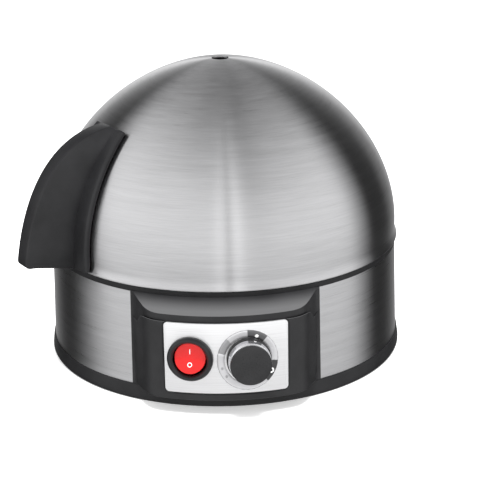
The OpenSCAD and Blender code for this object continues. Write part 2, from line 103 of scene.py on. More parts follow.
# Turns a closed (radius, height) outline about Z; place then moves the result
def spin(bm, profile, segments=160, start=0.0, sweep=360.0, place=None):
    closed = abs(sweep - 360) < 1e-6
    steps = segments if closed else segments + 1
    sections = []
    for i in range(steps):
        angle = math.radians(start + sweep * i / segments)
        ring = [Vector((x * math.cos(angle), x * math.sin(angle), y)) for x, y in profile]
        sections.append([place @ p for p in ring] if place else ring)
    sweepSections(bm, sections, closed)


def spunPiece(name, corners, material, segments=160, start=0.0, sweep=360.0, place=None, steps=5):
    bm = bmesh.new()
    outline = rounded([(x * mm, y * mm, r * mm) for x, y, r in corners], steps)
    spin(bm, outline, segments, start, sweep, place)
    return keepMesh(name, bm, material)


def applyModifiers(piece):
    bpy.context.view_layer.update()
    mesh = bpy.data.meshes.new_from_object(piece.evaluated_get(bpy.context.evaluated_depsgraph_get()))
    old = piece.data
    piece.modifiers.clear()
    piece.data = mesh
    bpy.data.meshes.remove(old)
    mesh.shade_smooth()
    mesh.set_sharp_from_angle(angle=math.radians(35))


def bevelEdges(piece, width, segments=3, angle=30):
    bevel = piece.modifiers.new("edges", "BEVEL")
    bevel.width = width * mm
    bevel.segments = segments
    bevel.limit_method = "ANGLE"
    bevel.angle_limit = math.radians(angle)
    bevel.harden_normals = False
    applyModifiers(piece)


def cutAway(piece, cutter):
    cut = piece.modifiers.new("cut", "BOOLEAN")
    cut.operation = "DIFFERENCE"
    cut.solver = "EXACT"
    cut.object = cutter
    applyModifiers(piece)
    bpy.data.objects.remove(cutter)


def joinPieces(name, parts):
    bm = bmesh.new()
    for part in parts:
        bm.from_mesh(part.data)
    material = parts[0].data.materials[0]
    for part in parts:
        bpy.data.objects.remove(part)
    return keepMesh(name, bm, material)


def bezier(a, b, c, d, steps):
    points = []
    for k in range(steps + 1):
        t = k / steps
        s = 1 - t
        points.append(a * s ** 3 + b * 3 * s * s * t + c * 3 * s * t * t + d * t ** 3)
    return points


def finishPiece(piece, body, slot, *replaced):
    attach(piece, body)
    if replaced:
        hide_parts(*replaced)


def newMaterial(name, color, roughness, metallic=0.0):
    material = bpy.data.materials.new(name)
    material.use_nodes = True
    shader = material.node_tree.nodes["Principled BSDF"]
    shader.inputs["Base Color"].default_value = (*color, 1)
    shader.inputs["Roughness"].default_value = roughness
    shader.inputs["Metallic"].default_value = metallic
    return material, material.node_tree, shader


def addNode(tree, kind, **values):
    node = tree.nodes.new(kind)
    for key, value in values.items():
        setattr(node, key, value)
    return node


def calc(tree, operation, a, b=None, kind="ShaderNodeMath"):
    node = addNode(tree, kind, operation=operation)
    for i, value in enumerate([a, b]):
        if value is None:
            continue
        if isinstance(value, bpy.types.NodeSocket):
            tree.links.new(value, node.inputs[i])
        else:
            node.inputs[i].default_value = value
    return node.outputs[0]


def noise(tree, vector, scale, detail=3.0, rough=0.55):
    node = addNode(tree, "ShaderNodeTexNoise")
    node.inputs["Scale"].default_value = scale
    node.inputs["Detail"].default_value = detail
    node.inputs["Roughness"].default_value = rough
    tree.links.new(vector, node.inputs["Vector"])
    return node.outputs["Fac"]


def spread(tree, value, low, high, fromLow=0.3, fromHigh=0.7):
    node = addNode(tree, "ShaderNodeMapRange")
    for key, number in [("From Min", fromLow), ("From Max", fromHigh), ("To Min", low), ("To Max", high)]:
        node.inputs[key].default_value = number
    tree.links.new(value, node.inputs["Value"])
    return node.outputs["Result"]


def tint(tree, value, dark, light):
    ramp = addNode(tree, "ShaderNodeValToRGB")
    ramp.color_ramp.elements[0].position = 0.3
    ramp.color_ramp.elements[1].position = 0.7
    ramp.color_ramp.elements[0].color = (*dark, 1)
    ramp.color_ramp.elements[1].color = (*light, 1)
    tree.links.new(value, ramp.inputs["Fac"])
    return ramp.outputs["Color"]


def bump(tree, height, shader, strength, distance):
    node = addNode(tree, "ShaderNodeBump")
    node.inputs["Strength"].default_value = strength
    node.inputs["Distance"].default_value = distance
    tree.links.new(height, node.inputs["Height"])
    tree.links.new(node.outputs["Normal"], shader.inputs["Normal"])


def objectPoint(tree):
    return addNode(tree, "ShaderNodeTexCoord").outputs["Object"]


# Moulded plastic: fine grain in its surface and a little cloudiness in its colour
def mouldedPlastic(name, color, roughness, grain=1800.0, depth=0.00003, vary=0.25, shine=0.5):
    material, tree, shader = newMaterial(name, color, roughness)
    shader.inputs["Specular IOR Level"].default_value = shine
    point = objectPoint(tree)
    cloud = noise(tree, point, 60.0)
    dark = [c * (1 - vary) for c in color]
    light = [c * (1 + vary) for c in color]
    tree.links.new(tint(tree, cloud, dark, light), shader.inputs["Base Color"])
    fine = noise(tree, point, grain, 4.0)
    tree.links.new(spread(tree, fine, roughness - 0.05, roughness + 0.07), shader.inputs["Roughness"])
    bump(tree, fine, shader, 0.35, depth)
    return material


# The housing's plastic, with a painted highlight that makes the slope over the panel paler, and painted shade that
# fades it to black under the collar
def housingPaintedLight():
    material = mouldedPlastic("housingPlastic", (0.015, 0.015, 0.016), 0.36, shine=0.3)
    tree = material.node_tree
    shader = tree.nodes["Principled BSDF"]
    upright, place = addNode(tree, "ShaderNodeSeparateXYZ"), addNode(tree, "ShaderNodeSeparateXYZ")
    tree.links.new(addNode(tree, "ShaderNodeTexCoord").outputs["Normal"], upright.inputs[0])
    tree.links.new(objectPoint(tree), place.inputs[0])
    # painted highlight: faces turned upwards get a paler colour, standing in for the top light on the slope
    paintedTopLight = spread(tree, upright.outputs[2], 0.0, 1.0, 0.72, 0.88)
    # painted shade: the pale tone fades back to black near the top of the slope, under the collar
    below = spread(tree, place.outputs[2], 1.0, 0.1, 0.0535, 0.0572)
    paintedLightMix = addNode(tree, "ShaderNodeMixRGB")
    # the pale colour of the painted highlight
    paintedLightMix.inputs["Color2"].default_value = (0.095, 0.095, 0.097, 1)
    tree.links.new(calc(tree, "MULTIPLY", paintedTopLight, below), paintedLightMix.inputs["Fac"])
    tree.links.new(shader.inputs["Base Color"].links[0].from_socket, paintedLightMix.inputs["Color1"])
    tree.links.new(paintedLightMix.outputs["Color"], shader.inputs["Base Color"])
    return material


# Steel brushed in circles round the Z axis, on a dome or a cylinder
def brushedSteel(name, color, roughness, centreHeight, anisotropy=0.8, lines=420.0, contrast=0.10):
    material, tree, shader = newMaterial(name, color, roughness, 1.0)
    split = addNode(tree, "ShaderNodeSeparateXYZ")
    tree.links.new(objectPoint(tree), split.inputs[0])
    x, y, z = split.outputs
    radius = calc(tree, "SQRT", calc(tree, "ADD", calc(tree, "MULTIPLY", x, x), calc(tree, "MULTIPLY", y, y)))
    safe = calc(tree, "MAXIMUM", radius, 1e-4)
    rise = calc(tree, "SUBTRACT", z, centreHeight)
    slope = calc(tree, "ARCTAN2", rise, radius)  # the same all along one brush line
    along = addNode(tree, "ShaderNodeCombineXYZ")
    tree.links.new(calc(tree, "DIVIDE", x, safe), along.inputs[0])
    tree.links.new(calc(tree, "DIVIDE", y, safe), along.inputs[1])
    tree.links.new(calc(tree, "MULTIPLY", slope, lines / 6), along.inputs[2])
    streaks = noise(tree, along.outputs[0], 6.0, 6.0, 0.7)
    broad = addNode(tree, "ShaderNodeCombineXYZ")
    tree.links.new(calc(tree, "DIVIDE", x, safe), broad.inputs[0])
    tree.links.new(calc(tree, "DIVIDE", y, safe), broad.inputs[1])
    tree.links.new(calc(tree, "MULTIPLY", slope, lines / 40), broad.inputs[2])
    bands = noise(tree, broad.outputs[0], 2.0, 3.0)
    both = calc(tree, "ADD", calc(tree, "MULTIPLY", streaks, 0.7), calc(tree, "MULTIPLY", bands, 0.3))
    dark = [c * (1 - contrast) for c in color]
    light = [min(c * (1 + contrast), 1.0) for c in color]
    tree.links.new(tint(tree, both, dark, light), shader.inputs["Base Color"])
    tree.links.new(spread(tree, both, roughness - 0.05, roughness + 0.06), shader.inputs["Roughness"])
    shader.inputs["Anisotropic"].default_value = anisotropy
    shader.inputs["Anisotropic Rotation"].default_value = 0.25  # highlights spread across the brush lines
    tangent = addNode(tree, "ShaderNodeTangent", direction_type="RADIAL", axis="Z")
    tree.links.new(tangent.outputs[0], shader.inputs["Tangent"])
    bump(tree, streaks, shader, 0.12, 0.00002)
    return material


def plainMetal(name, color, roughness, grain=900.0):
    material, tree, shader = newMaterial(name, color, roughness, 1.0)
    point = objectPoint(tree)
    cloud = noise(tree, point, 120.0)
    tree.links.new(tint(tree, cloud, [c * 0.9 for c in color], color), shader.inputs["Base Color"])
    fine = noise(tree, point, grain)
    tree.links.new(spread(tree, fine, roughness * 0.8, roughness * 1.25), shader.inputs["Roughness"])
    bump(tree, fine, shader, 0.1, 0.00001)
    return material


lidRim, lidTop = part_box("lid_shell")
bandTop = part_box("steel_band")[1]
finish = {
    "domeHeart": 0.0695,
    "domeColor": (0.60, 0.60, 0.61),
    "bandColor": (0.56, 0.56, 0.57),
}
domeSteel = brushedSteel("domeSteel", finish["domeColor"], 0.31, finish["domeHeart"], 1.0, 700.0, 0.22)
bandSteel = brushedSteel("bandSteel", finish["bandColor"], 0.30, -0.02, 1.0, 900.0, 0.20)
plateSteel = brushedSteel("plateSteel", (0.6, 0.6, 0.6), 0.3, -0.2, 0.5, 300.0)
blackPlastic = mouldedPlastic("blackPlastic", (0.012, 0.012, 0.013), 0.42, shine=0.25)
housingPlastic = housingPaintedLight()
handlePlastic = mouldedPlastic("handlePlastic", (0.012, 0.012, 0.013), 0.42, 1500.0, 0.00004, shine=0.3)
knobPlastic = mouldedPlastic("knobPlastic", (0.016, 0.016, 0.017), 0.3, 2500.0, 0.00001, shine=0.35)
bezelPlastic = mouldedPlastic("bezelPlastic", (0.010, 0.010, 0.011), 0.34, 2500.0, 0.00001, shine=0.35)
redPlastic = mouldedPlastic("redPlastic", (0.56, 0.008, 0.008), 0.22, 3000.0, 0.000005, 0.05, shine=0.4)
whiteInk = mouldedPlastic("whiteInk", (0.85, 0.85, 0.85), 0.5, 3000.0, 0.000005, 0.03)
trayPlastic = mouldedPlastic("trayPlastic", (0.04, 0.04, 0.042), 0.4)
coverPlastic = mouldedPlastic("coverPlastic", (0.05, 0.05, 0.052), 0.5)
palePlastic = mouldedPlastic("palePlastic", (0.75, 0.75, 0.7), 0.45, vary=0.05)
boardPlastic = mouldedPlastic("boardPlastic", (0.02, 0.16, 0.06), 0.3)
footRubber = mouldedPlastic("footRubber", (0.03, 0.03, 0.03), 0.75, 1200.0, 0.00006)
paleSilicone = mouldedPlastic("paleSilicone", (0.62, 0.62, 0.6), 0.6, vary=0.04)
paleCeramic = mouldedPlastic("paleCeramic", (0.8, 0.77, 0.7), 0.35, vary=0.05)
brightChrome = plainMetal("brightChrome", (0.82, 0.82, 0.84), 0.08, 3000.0)
screwSteel = plainMetal("screwSteel", (0.62, 0.62, 0.63), 0.3)
bracketSteel = plainMetal("bracketSteel", (0.55, 0.55, 0.52), 0.4)
shieldAluminium = plainMetal("shieldAluminium", (0.75, 0.75, 0.76), 0.25)
contactBrass = plainMetal("contactBrass", (0.72, 0.55, 0.25), 0.3)
elementSteel = plainMetal("elementSteel", (0.22, 0.20, 0.19), 0.5)


# Silver sheet brushed from side to side
def fasciaMetal():
    color = (0.80, 0.80, 0.81)
    material, tree, shader = newMaterial("fasciaSilver", color, 0.34, 0.85)
    stretch = addNode(tree, "ShaderNodeMapping")
    stretch.inputs["Scale"].default_value = (30, 30, 3000)
    tree.links.new(objectPoint(tree), stretch.inputs["Vector"])
    streaks = noise(tree, stretch.outputs["Vector"], 1.0, 4.0)
    tree.links.new(tint(tree, streaks, [c * 0.94 for c in color], (0.86, 0.86, 0.87)), shader.inputs["Base Color"])
    tree.links.new(spread(tree, streaks, 0.3, 0.4), shader.inputs["Roughness"])
    bump(tree, streaks, shader, 0.05, 0.00001)
    return material


fasciaSilver = fasciaMetal()
scaleInks = {
    "pale": mouldedPlastic("scalePale", (0.40, 0.40, 0.41), 0.4, vary=0.03),
    "middle": mouldedPlastic("scaleMiddle", (0.22, 0.22, 0.225), 0.4, vary=0.03),
    "dark": mouldedPlastic("scaleDark", (0.075, 0.075, 0.078), 0.4, vary=0.05),
    "black": mouldedPlastic("scaleBlack", (0.03, 0.03, 0.031), 0.4, vary=0.05),
    "line": mouldedPlastic("scaleLine", (0.14, 0.14, 0.145), 0.4, vary=0.03),
}
print("materials made")


dome = {
    "radius": bandTop.x - 1.2 * mm,  # the band is 1.2 mm wider at its foot than under the lid
    "power": 1.89,
    "startHeight": 69.5 * mm,
    "sheet": 0.7 * mm,
    "ventRadius": 4.5 * mm,
    "flare": 5 * mm,
    "hemWidth": 2.1 * mm,
}
dome["height"] = lidTop.z - dome["startHeight"] + 0.15 * mm


def domeNormal(angle):
    c, s = max(math.cos(angle), 0) ** (2 / dome["power"]), max(math.sin(angle), 0) ** (2 / dome["power"])
    return Vector((c ** (dome["power"] - 1) / dome["radius"], s ** (dome["power"] - 1) / dome["height"])).normalized()


# A point of the dome's section as (radius, height), moved outwards by out
def domePoint(angle, out=0.0):
    c, s = max(math.cos(angle), 0) ** (2 / dome["power"]), max(math.sin(angle), 0) ** (2 / dome["power"])
    return Vector((dome["radius"] * c, dome["startHeight"] + dome["height"] * s)) + domeNormal(angle) * out


def makeDome():
    sheet = dome["sheet"]
    ventAngle = math.acos((dome["ventRadius"] / dome["radius"]) ** (dome["power"] / 2))
    lip, rim, flareTop = lidTop.x, lidRim.z, lidRim.z + dome["flare"]
    steps = 90
    angles = [ventAngle * (i / steps) ** 0.9 for i in range(steps + 1)]
    outer = [domePoint(a) for a in angles]
    inner = [domePoint(a, -sheet) for a in reversed(angles)]
    flareOut, flareIn = [], []
    for i in range(9):
        t = i / 8
        radius = lip + (dome["radius"] - lip) * (1 - (1 - t) ** 2)
        height = rim + 0.8 * mm + (flareTop - rim - 0.8 * mm) * t
        flareOut.append(Vector((radius, height)))
        flareIn.append(Vector((radius - sheet, height)))
    hem = lip - dome["hemWidth"]
    rimOut = [Vector((hem, rim)), Vector((lip - 0.5 * mm, rim)), Vector((lip - 0.12 * mm, rim + 0.25 * mm))]
    rimIn = [Vector((lip - sheet - 0.2 * mm, rim + sheet)), Vector((hem, rim + sheet))]
    outline = rimOut + flareOut + outer + inner + list(reversed(flareIn)) + rimIn
    bm = bmesh.new()
    spin(bm, outline, 220)
    return keepMesh("lidDome", bm, domeSteel, 40)


lidDome = makeDome()
finishPiece(lidDome, "lid", "dome_steel", "lid_shell")
print("lid made")

handle = {
    "angle": 32.0,  # from the left side towards the front, in degrees
    "edgeHalf": 5.0,
    "rootHalf": 9.2,
    "rootOut": 1.6,
    "bevel": 0.5,
    "top": [(69, 131.9), (94, 129.9), (114.4, 110), (120.9, 68)],
    "heel": [(120.9, 68), (120.9, 66), (119.9, 65), (116.5, 64.95)],
    "bottom": [(112.2, 64.6), (104.6, 63.5), (97.4, 62.0)],
    "bottomRoot": (95.2, 62.2),
    "saddleAngle": 23.0,
    "saddleThickness": 3.3,
    "saddleTop": 43.5,
}


# A point in the handle's own plane, moved sideways towards the front by side
def handlePlane(rho, height, side):
    turn = math.radians(180 + handle["angle"])
    out, front = Vector((math.cos(turn), math.sin(turn), 0)), Vector((-math.sin(turn), math.cos(turn), 0))
    return out * rho + front * side + Vector((0, 0, height))


# Moves an open outline sideways, towards its right-hand side
def inwards(points, distance):
    moved = []
    for i, p in enumerate(points):
        along = points[min(i + 1, len(points) - 1)] - points[max(i - 1, 0)]
        moved.append(p + Vector((along.y, -along.x)).normalized() * distance)
    return moved


def makeFin():
    top = bezier(*[Vector(p) for p in handle["top"]], 26)
    heel = bezier(*[Vector(p) for p in handle["heel"]], 8)[1:]
    edge = top + heel + [Vector(p) for p in handle["bottom"]]
    inset = inwards(edge, handle["bevel"])
    thin, thick, bevel = handle["edgeHalf"], handle["rootHalf"], handle["bevel"]
    heelEnd, rootEnd = Vector(handle["heel"][-1]).x, Vector(handle["bottom"][-1]).x
    sections = []
    for i, (outer, inner) in enumerate(zip(edge, inset)):
        half = thin
        if i < len(top):
            angle = math.radians(handle["saddleTop"]) * (1 - i / (len(top) - 1))
            root = domePoint(angle, handle["rootOut"] * mm) / mm
            root.x = math.sqrt(root.x ** 2 - thick ** 2)
        else:
            root = Vector(handle["bottomRoot"])
            half += (thick - thin) * max(0.0, (heelEnd - outer.x) / (heelEnd - rootEnd))
        line = [(root, thick), (inner, half), (outer, half - bevel),
                (outer, bevel - half), (inner, -half), (root, -thick)]
        sections.append([handlePlane(p.x, p.y, side) * mm for p, side in line])
    bm = bmesh.new()
    sweepSections(bm, sections, False)
    fin = keepMesh("handleFin", bm, handlePlastic)
    bevelEdges(fin, 0.25, 2, 25)
    return fin


def makeSaddle():
    spanHalf = math.radians(handle["saddleAngle"] / 2)
    middle = math.radians(180 + handle["angle"])
    gap, thick, edge = 0.15 * mm, handle["saddleThickness"] * mm, 1.3 * mm
    section = [(-spanHalf, gap)]
    lateral = dome["radius"]
    for k in range(7):
        turn = math.pi / 2 * k / 6
        section.append((-spanHalf + edge * (1 - math.cos(turn)) / lateral, thick - edge + edge * math.sin(turn)))
    section += [(spanHalf * f, thick) for f in (-0.8, -0.4, 0, 0.4, 0.8)]
    section += [(-a, out) for a, out in reversed(section[1:8])]
    section += [(spanHalf, gap)] + [(spanHalf * f, gap) for f in (0.8, 0.4, 0, -0.4, -0.8)]
    rows = 40
    bottom = lidRim.z + 0.9 * mm
    sections = []
    for i in range(-6, rows + 1):
        ring = []
        for turn, out in section:
            if i < 0:
                height = bottom + (dome["startHeight"] - bottom) * (i + 6) / 6
                lipOut = max(0.0, (lidRim.z + dome["flare"] - height) / dome["flare"]) * 1.1 * mm
                point = Vector((dome["radius"] + max(out, lipOut + gap), height))
            else:
                point = domePoint(math.radians(handle["saddleTop"]) * i / rows, out)
            ring.append(Vector((point.x * math.cos(middle + turn), point.x * math.sin(middle + turn), point.y)))
        sections.append(ring)
    bm = bmesh.new()
    sweepSections(bm, sections, False)
    saddle = keepMesh("handleSaddle", bm, handlePlastic)
    bevelEdges(saddle, 0.9, 3, 50)
    return saddle


lidHandle = joinPieces("lidHandle", [makeFin(), makeSaddle()])
finishPiece(lidHandle, "lid", "handle_plastic", "lid_handle")
print("handle made")


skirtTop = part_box("base_skirt")[1]
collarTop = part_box("collar")[1]
base = {
    "skirt": skirtTop.x / mm,
    "skirtHeight": skirtTop.z / mm,
    "body": collarTop.x / mm,
    "bandFoot": bandTop.x / mm,
    "bandTop": bandTop.z / mm,
    "collarTop": collarTop.z / mm,
    "bandGap": 29.3,  # half of the opening behind the control housing, in degrees
    "sheet": 0.8,
}


gland = {"notchHalf": 6.5, "notchTop": 26.0, "bore": 3.75, "neck": 5.7, "flange": 8.0, "slack": 0.15}


def block(name, low, high, material):
    bm = bmesh.new()
    low, high = Vector(low) * mm, Vector(high) * mm
    place = Matrix.Translation((low + high) / 2) @ Matrix.Diagonal((*(high - low), 1))
    bmesh.ops.create_cube(bm, size=1, matrix=place)
    return keepMesh(name, bm, material)


def makeBase():
    s, h, body, top, lip = base["skirt"], base["skirtHeight"], base["body"], base["bandTop"], base["collarTop"]
    skirt = spunPiece("footRing", [
        (body - 2.2, 0, 0.3), (s - 0.6, 0, 0.6), (s, 1.2, 0.8), (s, 2.6, 1.5), (s - 0.8, h - 0.1, 0.35),
        (s - 1.6, h, 0.3), (body - 4.4, h, 0.3), (body - 4.4, 4, 0), (body - 2.2, 4, 0)], blackPlastic, 220)
    finishPiece(skirt, "base", "black_plastic", "base_skirt")
    foot, sheet = base["bandFoot"], base["sheet"]
    band = spunPiece("steelBand", [(foot - sheet, h, 0), (foot, h, 0.1), (body, top, 0.1), (body - sheet, top, 0)],
                     bandSteel, 200, base["bandGap"] - 90, 360 - 2 * base["bandGap"])
    half = gland["notchHalf"]
    cutAway(band, block("notchCutter", (-half, body - 5, h - 1), (half, foot + 5, gland["notchTop"]), bandSteel))
    finishPiece(band, "base", "band_steel", "steel_band")
    ledge = lip - 3.5
    collar = spunPiece("collarRing", [
        (body, top, 0.15), (body, ledge, 0.45), (body - 3, ledge, 0.2), (body - 3, lip, 0.5),
        (body - 5, lip, 0.5), (body - 5, ledge - 0.5, 0.2), (body - 9, ledge - 0.5, 0.3), (body - 9, top, 0.3),
        (body - 2.8, top, 0), (body - 2.8, top - 7.5, 0.2), (body - 1, top - 7.5, 0.2), (body - 1, top, 0)],
        blackPlastic, 220)
    bm = bmesh.new()
    bm.from_mesh(collar.data)
    for quarter in range(4):
        turn = math.radians(45 + 90 * quarter)
        place = Matrix.Translation(Vector((84 * mm * math.cos(turn), 84 * mm * math.sin(turn), 0)))
        corners = [(1.5, 4), (4, 4), (4, top + 0.5), (1.5, top + 0.5)]
        post = rounded([(x * mm, z * mm, 0.2 * mm) for x, z in corners])
        spin(bm, post, 28, place=place)
    bpy.data.objects.remove(collar)
    collar = keepMesh("collarRing", bm, blackPlastic)
    finishPiece(collar, "base", "black_plastic", "collar")


makeBase()
print("base rings made")


housingLow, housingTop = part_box("control_housing")
fasciaLow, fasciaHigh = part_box("fascia_plate")
panel = {
    "bendY": -9.0,
    "front": -housingLow.y / mm,
    "flankFoot": (47.0, -80.2),
    "flankDirection": (-0.422, -0.906),
    "cornerReach": 6.8,
    "wall": 2.4,
    "edge": 0.2,
    "bottom": base["skirtHeight"],
    "scoopTop": housingTop.z / mm,
    "crease": 51.7,
    "fasciaWidth": (fasciaHigh.x - fasciaLow.x) / mm,
    "fasciaHeight": (fasciaHigh.z - fasciaLow.z) / mm,
    "fasciaMiddle": (fasciaHigh.z + fasciaLow.z) / 2 / mm,
    "fasciaCorner": 2.0,
    "fasciaSheet": 0.9,
    "recess": 1.0,
    "switchHole": 10.0,
    "dialHole": 4.8,
}
panel["bend"] = panel["front"] + panel["bendY"]


# The housing's outline seen from above, left rear to right rear, in millimetres
def housingPlan():
    foot, along = Vector(panel["flankFoot"]), Vector(panel["flankDirection"]).normalized()
    centre = Vector((0, panel["bendY"]))
    toFoot = foot - centre
    b, c = toFoot.dot(along), toFoot.dot(toFoot) - panel["bend"] ** 2
    corner = foot + along * (math.sqrt(b * b - c) - b)
    cornerTurn = math.atan2(corner.y - centre.y, corner.x)
    frontTurn = cornerTurn - math.radians(3.6)
    start = corner - along * panel["cornerReach"]
    front = centre + panel["bend"] * Vector((math.cos(frontTurn), math.sin(frontTurn)))
    right = [foot + (start - foot) * (k / 6) for k in range(6)]
    for k in range(13):
        t = k / 12
        right.append(start * (1 - t) ** 2 + corner * 2 * t * (1 - t) + front * t * t)
    for k in range(1, 21):
        turn = frontTurn + (-math.pi / 2 - frontTurn) * k / 20
        right.append(centre + panel["bend"] * Vector((math.cos(turn), math.sin(turn))))
    left = [Vector((-p.x, p.y)) for p in right]
    return left + list(reversed(right[:-1]))


def bandRadius(height):
    t = (height - base["skirtHeight"]) / (base["bandTop"] - base["skirtHeight"])
    return base["bandFoot"] + (base["body"] - base["bandFoot"]) * min(max(t, 0), 1) + 0.12


# Height of the concave slope over a given distance from the axis
def scoopHeight(radius):
    t = min(max((radius - base["body"]) / (panel["front"] - base["body"]), 0), 1)
    straight = panel["scoopTop"] + (panel["crease"] - panel["scoopTop"]) * t
    return straight - 1.4 * t * (1 - t) * 2


# One closed section of the housing's shell, in a plane through the axis
def housingSection(reach):
    inner = reach - panel["wall"]
    bottom, wall, crease = panel["bottom"], panel["wall"], scoopHeight(reach)
    outer = [(bandRadius(bottom), bottom, 0), (reach, bottom, 1.1), (reach, crease, 0.7)]
    corners = [Vector(p) for p in rounded(outer, 5)]
    slope = []
    for k in range(1, 11):
        radius = reach - 0.5 + (base["body"] + 0.1 - reach + 0.5) * k / 10
        slope.append(Vector((radius, scoopHeight(radius))))
    inside = [Vector((base["body"] + 0.1, panel["scoopTop"] - wall)), Vector((inner, crease - wall)),
              Vector((inner, bottom + wall)), Vector((bandRadius(bottom), bottom + wall))]
    # every point stays outside the band, and the skin never gets thinner than its edge
    skin = [Vector((max(p.x, bandRadius(p.y) + panel["edge"]), p.y)) for p in corners[1:] + slope[:-1]]
    hollow = [Vector((max(p.x, bandRadius(p.y)), p.y)) for p in slope[-1:] + inside + corners[:1]]
    return skin + hollow


def makeHousing():
    sections = []
    for p in housingPlan():
        reach, turn = p.length, math.atan2(p.y, p.x)
        section = housingSection(reach)
        sections.append([Vector((q.x * math.cos(turn), q.x * math.sin(turn), q.y)) * mm for q in section])
    bm = bmesh.new()
    sweepSections(bm, sections, False)
    return keepMesh("controlHousing", bm, housingPlastic, 38)


# Panel coordinates (sideways, up, depth under the surface) bent to the housing's front
def bentPoint(x, y, depth):
    turn = math.asin(x / panel["bend"])
    radius = panel["bend"] - depth
    return Vector((radius * math.sin(turn), panel["bendY"] - radius * math.cos(turn),
                   panel["fasciaMiddle"] + y)) * mm


# A rounded rectangle bent to the front; rings are (inset, depth) from its face to its back
def bentPlate(name, width, height, corner, rings, material):
    bm = bmesh.new()
    loops = []
    for inset, depth in rings:
        w, h, r = width / 2 - inset, height / 2 - inset, max(corner - inset, 0.15)
        top = []
        for k in range(7):
            turn = math.pi - math.pi / 2 * k / 6
            top.append(Vector((r - w + r * math.cos(turn), h - r + r * math.sin(turn))))
        top += [Vector(((r - w) + (2 * w - 2 * r) * k / 30, h)) for k in range(1, 30)]
        top += [Vector((-p.x, p.y)) for p in reversed(top[:7])]
        outline = top + [Vector((p.x, -p.y)) for p in reversed(top)]
        loops.append([bm.verts.new(bentPoint(p.x, p.y, depth)) for p in outline])
    count = len(loops[0])
    for one, two in zip(loops, loops[1:]):
        for k in range(count):
            bm.faces.new([one[k], one[(k + 1) % count], two[(k + 1) % count], two[k]])
    for loop in (loops[0], loops[-1]):
        for k in range(count // 2 - 1):
            bm.faces.new([loop[k], loop[k + 1], loop[count - 2 - k], loop[count - 1 - k]])
    return keepMesh(name, bm, material, 35)


def makePanel():
    housing = makeHousing()
    gap = 0.4
    width, height = panel["fasciaWidth"] + 2 * gap, panel["fasciaHeight"] + 2 * gap
    flare = 0.5
    cutter = bentPlate("recessCutter", width + 2 * flare, height + 2 * flare, panel["fasciaCorner"] + gap + flare,
                       [(0, -1.0), (0, -0.02), (flare, flare), (flare, panel["recess"])], housingPlastic)
    cutAway(housing, cutter)
    drillPanel(housing)
    finishPiece(housing, "base", "black_plastic", "control_housing")
    fascia = bentPlate("fasciaPlate", panel["fasciaWidth"], panel["fasciaHeight"], panel["fasciaCorner"],
                       [(0.25, 0.02), (0.07, 0.09), (0, 0.25), (0, panel["fasciaSheet"])], fasciaSilver)
    drillPanel(fascia)
    finishPiece(fascia, "base", "fascia_silver", "fascia_plate")


# A frame on the panel: X sideways, Y up, Z out of the surface, in metres
def panelPlace(joint, outwards, depth):
    up = Vector((0, 0, 1))
    side = up.cross(outwards).normalized()
    origin = Vector(joints[joint]["pos_m"]) + outwards * depth
    turn = Matrix((side, up, outwards)).transposed().to_4x4()
    return Matrix.Translation(origin) @ turn


dialOut = -Vector(joints["dial_turn"]["axis"]).normalized()
dialPlace = panelPlace("dial_turn", dialOut, 0)
rockerSide = Vector(joints["rocker_tilt"]["axis"]).normalized()
rockerOut = rockerSide.cross(Vector((0, 0, 1)))
rocker = {"pivotDepth": 2.5, "radius": 7.8, "lean": 10.0, "low": 3.1, "mark": 0.04}
switchPlace = panelPlace("rocker_tilt", rockerOut, rocker["pivotDepth"] * mm)
pivotPlace = panelPlace("rocker_tilt", rockerOut, 0) @ Matrix.Rotation(math.radians(-rocker["lean"]), 4, "X")


# Cuts the holes for the switch and the dial's bush
def drillPanel(piece):
    for place, radius in ((switchPlace, panel["switchHole"]), (dialPlace, panel["dialHole"])):
        bm = bmesh.new()
        drill = [Vector((r * mm, z * mm)) for r, z in [(0, -8), (radius, -8), (radius, 5), (0, 5)]]
        spin(bm, drill, 72, place=place)
        cutAway(piece, keepMesh("drill", bm, housingPlastic))


makePanel()
print("control housing made")


def makeSwitch():
    bezel = spunPiece("switchBezel", [
        (8.6, -12, 0), (9.8, -12, 0.3), (9.8, -0.9, 0), (11.45, -0.9, 0), (11.45, 1.5, 1.1), (10.4, 2.75, 0.9),
        (9.6, 2.6, 0.4), (8.6, 1.5, 0.3)], bezelPlastic, 96, place=switchPlace)
    bm = bmesh.new()
    bm.from_mesh(bezel.data)
    floor = [Vector((x * mm, y * mm)) for x, y in [(0, -12), (8.8, -12), (8.8, -10.5), (0, -10.5)]]
    spin(bm, floor, 48, place=switchPlace)
    bpy.data.objects.remove(bezel)
    bezel = keepMesh("switchBezel", bm, bezelPlastic)
    finishPiece(bezel, "base", "gloss_black", "switch_body")


# Height of the rocker's face over its pivot: two slopes that meet in a soft valley
def rockerFace(y):
    valley = 0.5
    return rocker["low"] + math.tan(math.radians(rocker["lean"])) * (math.sqrt(y * y + valley * valley) - valley)


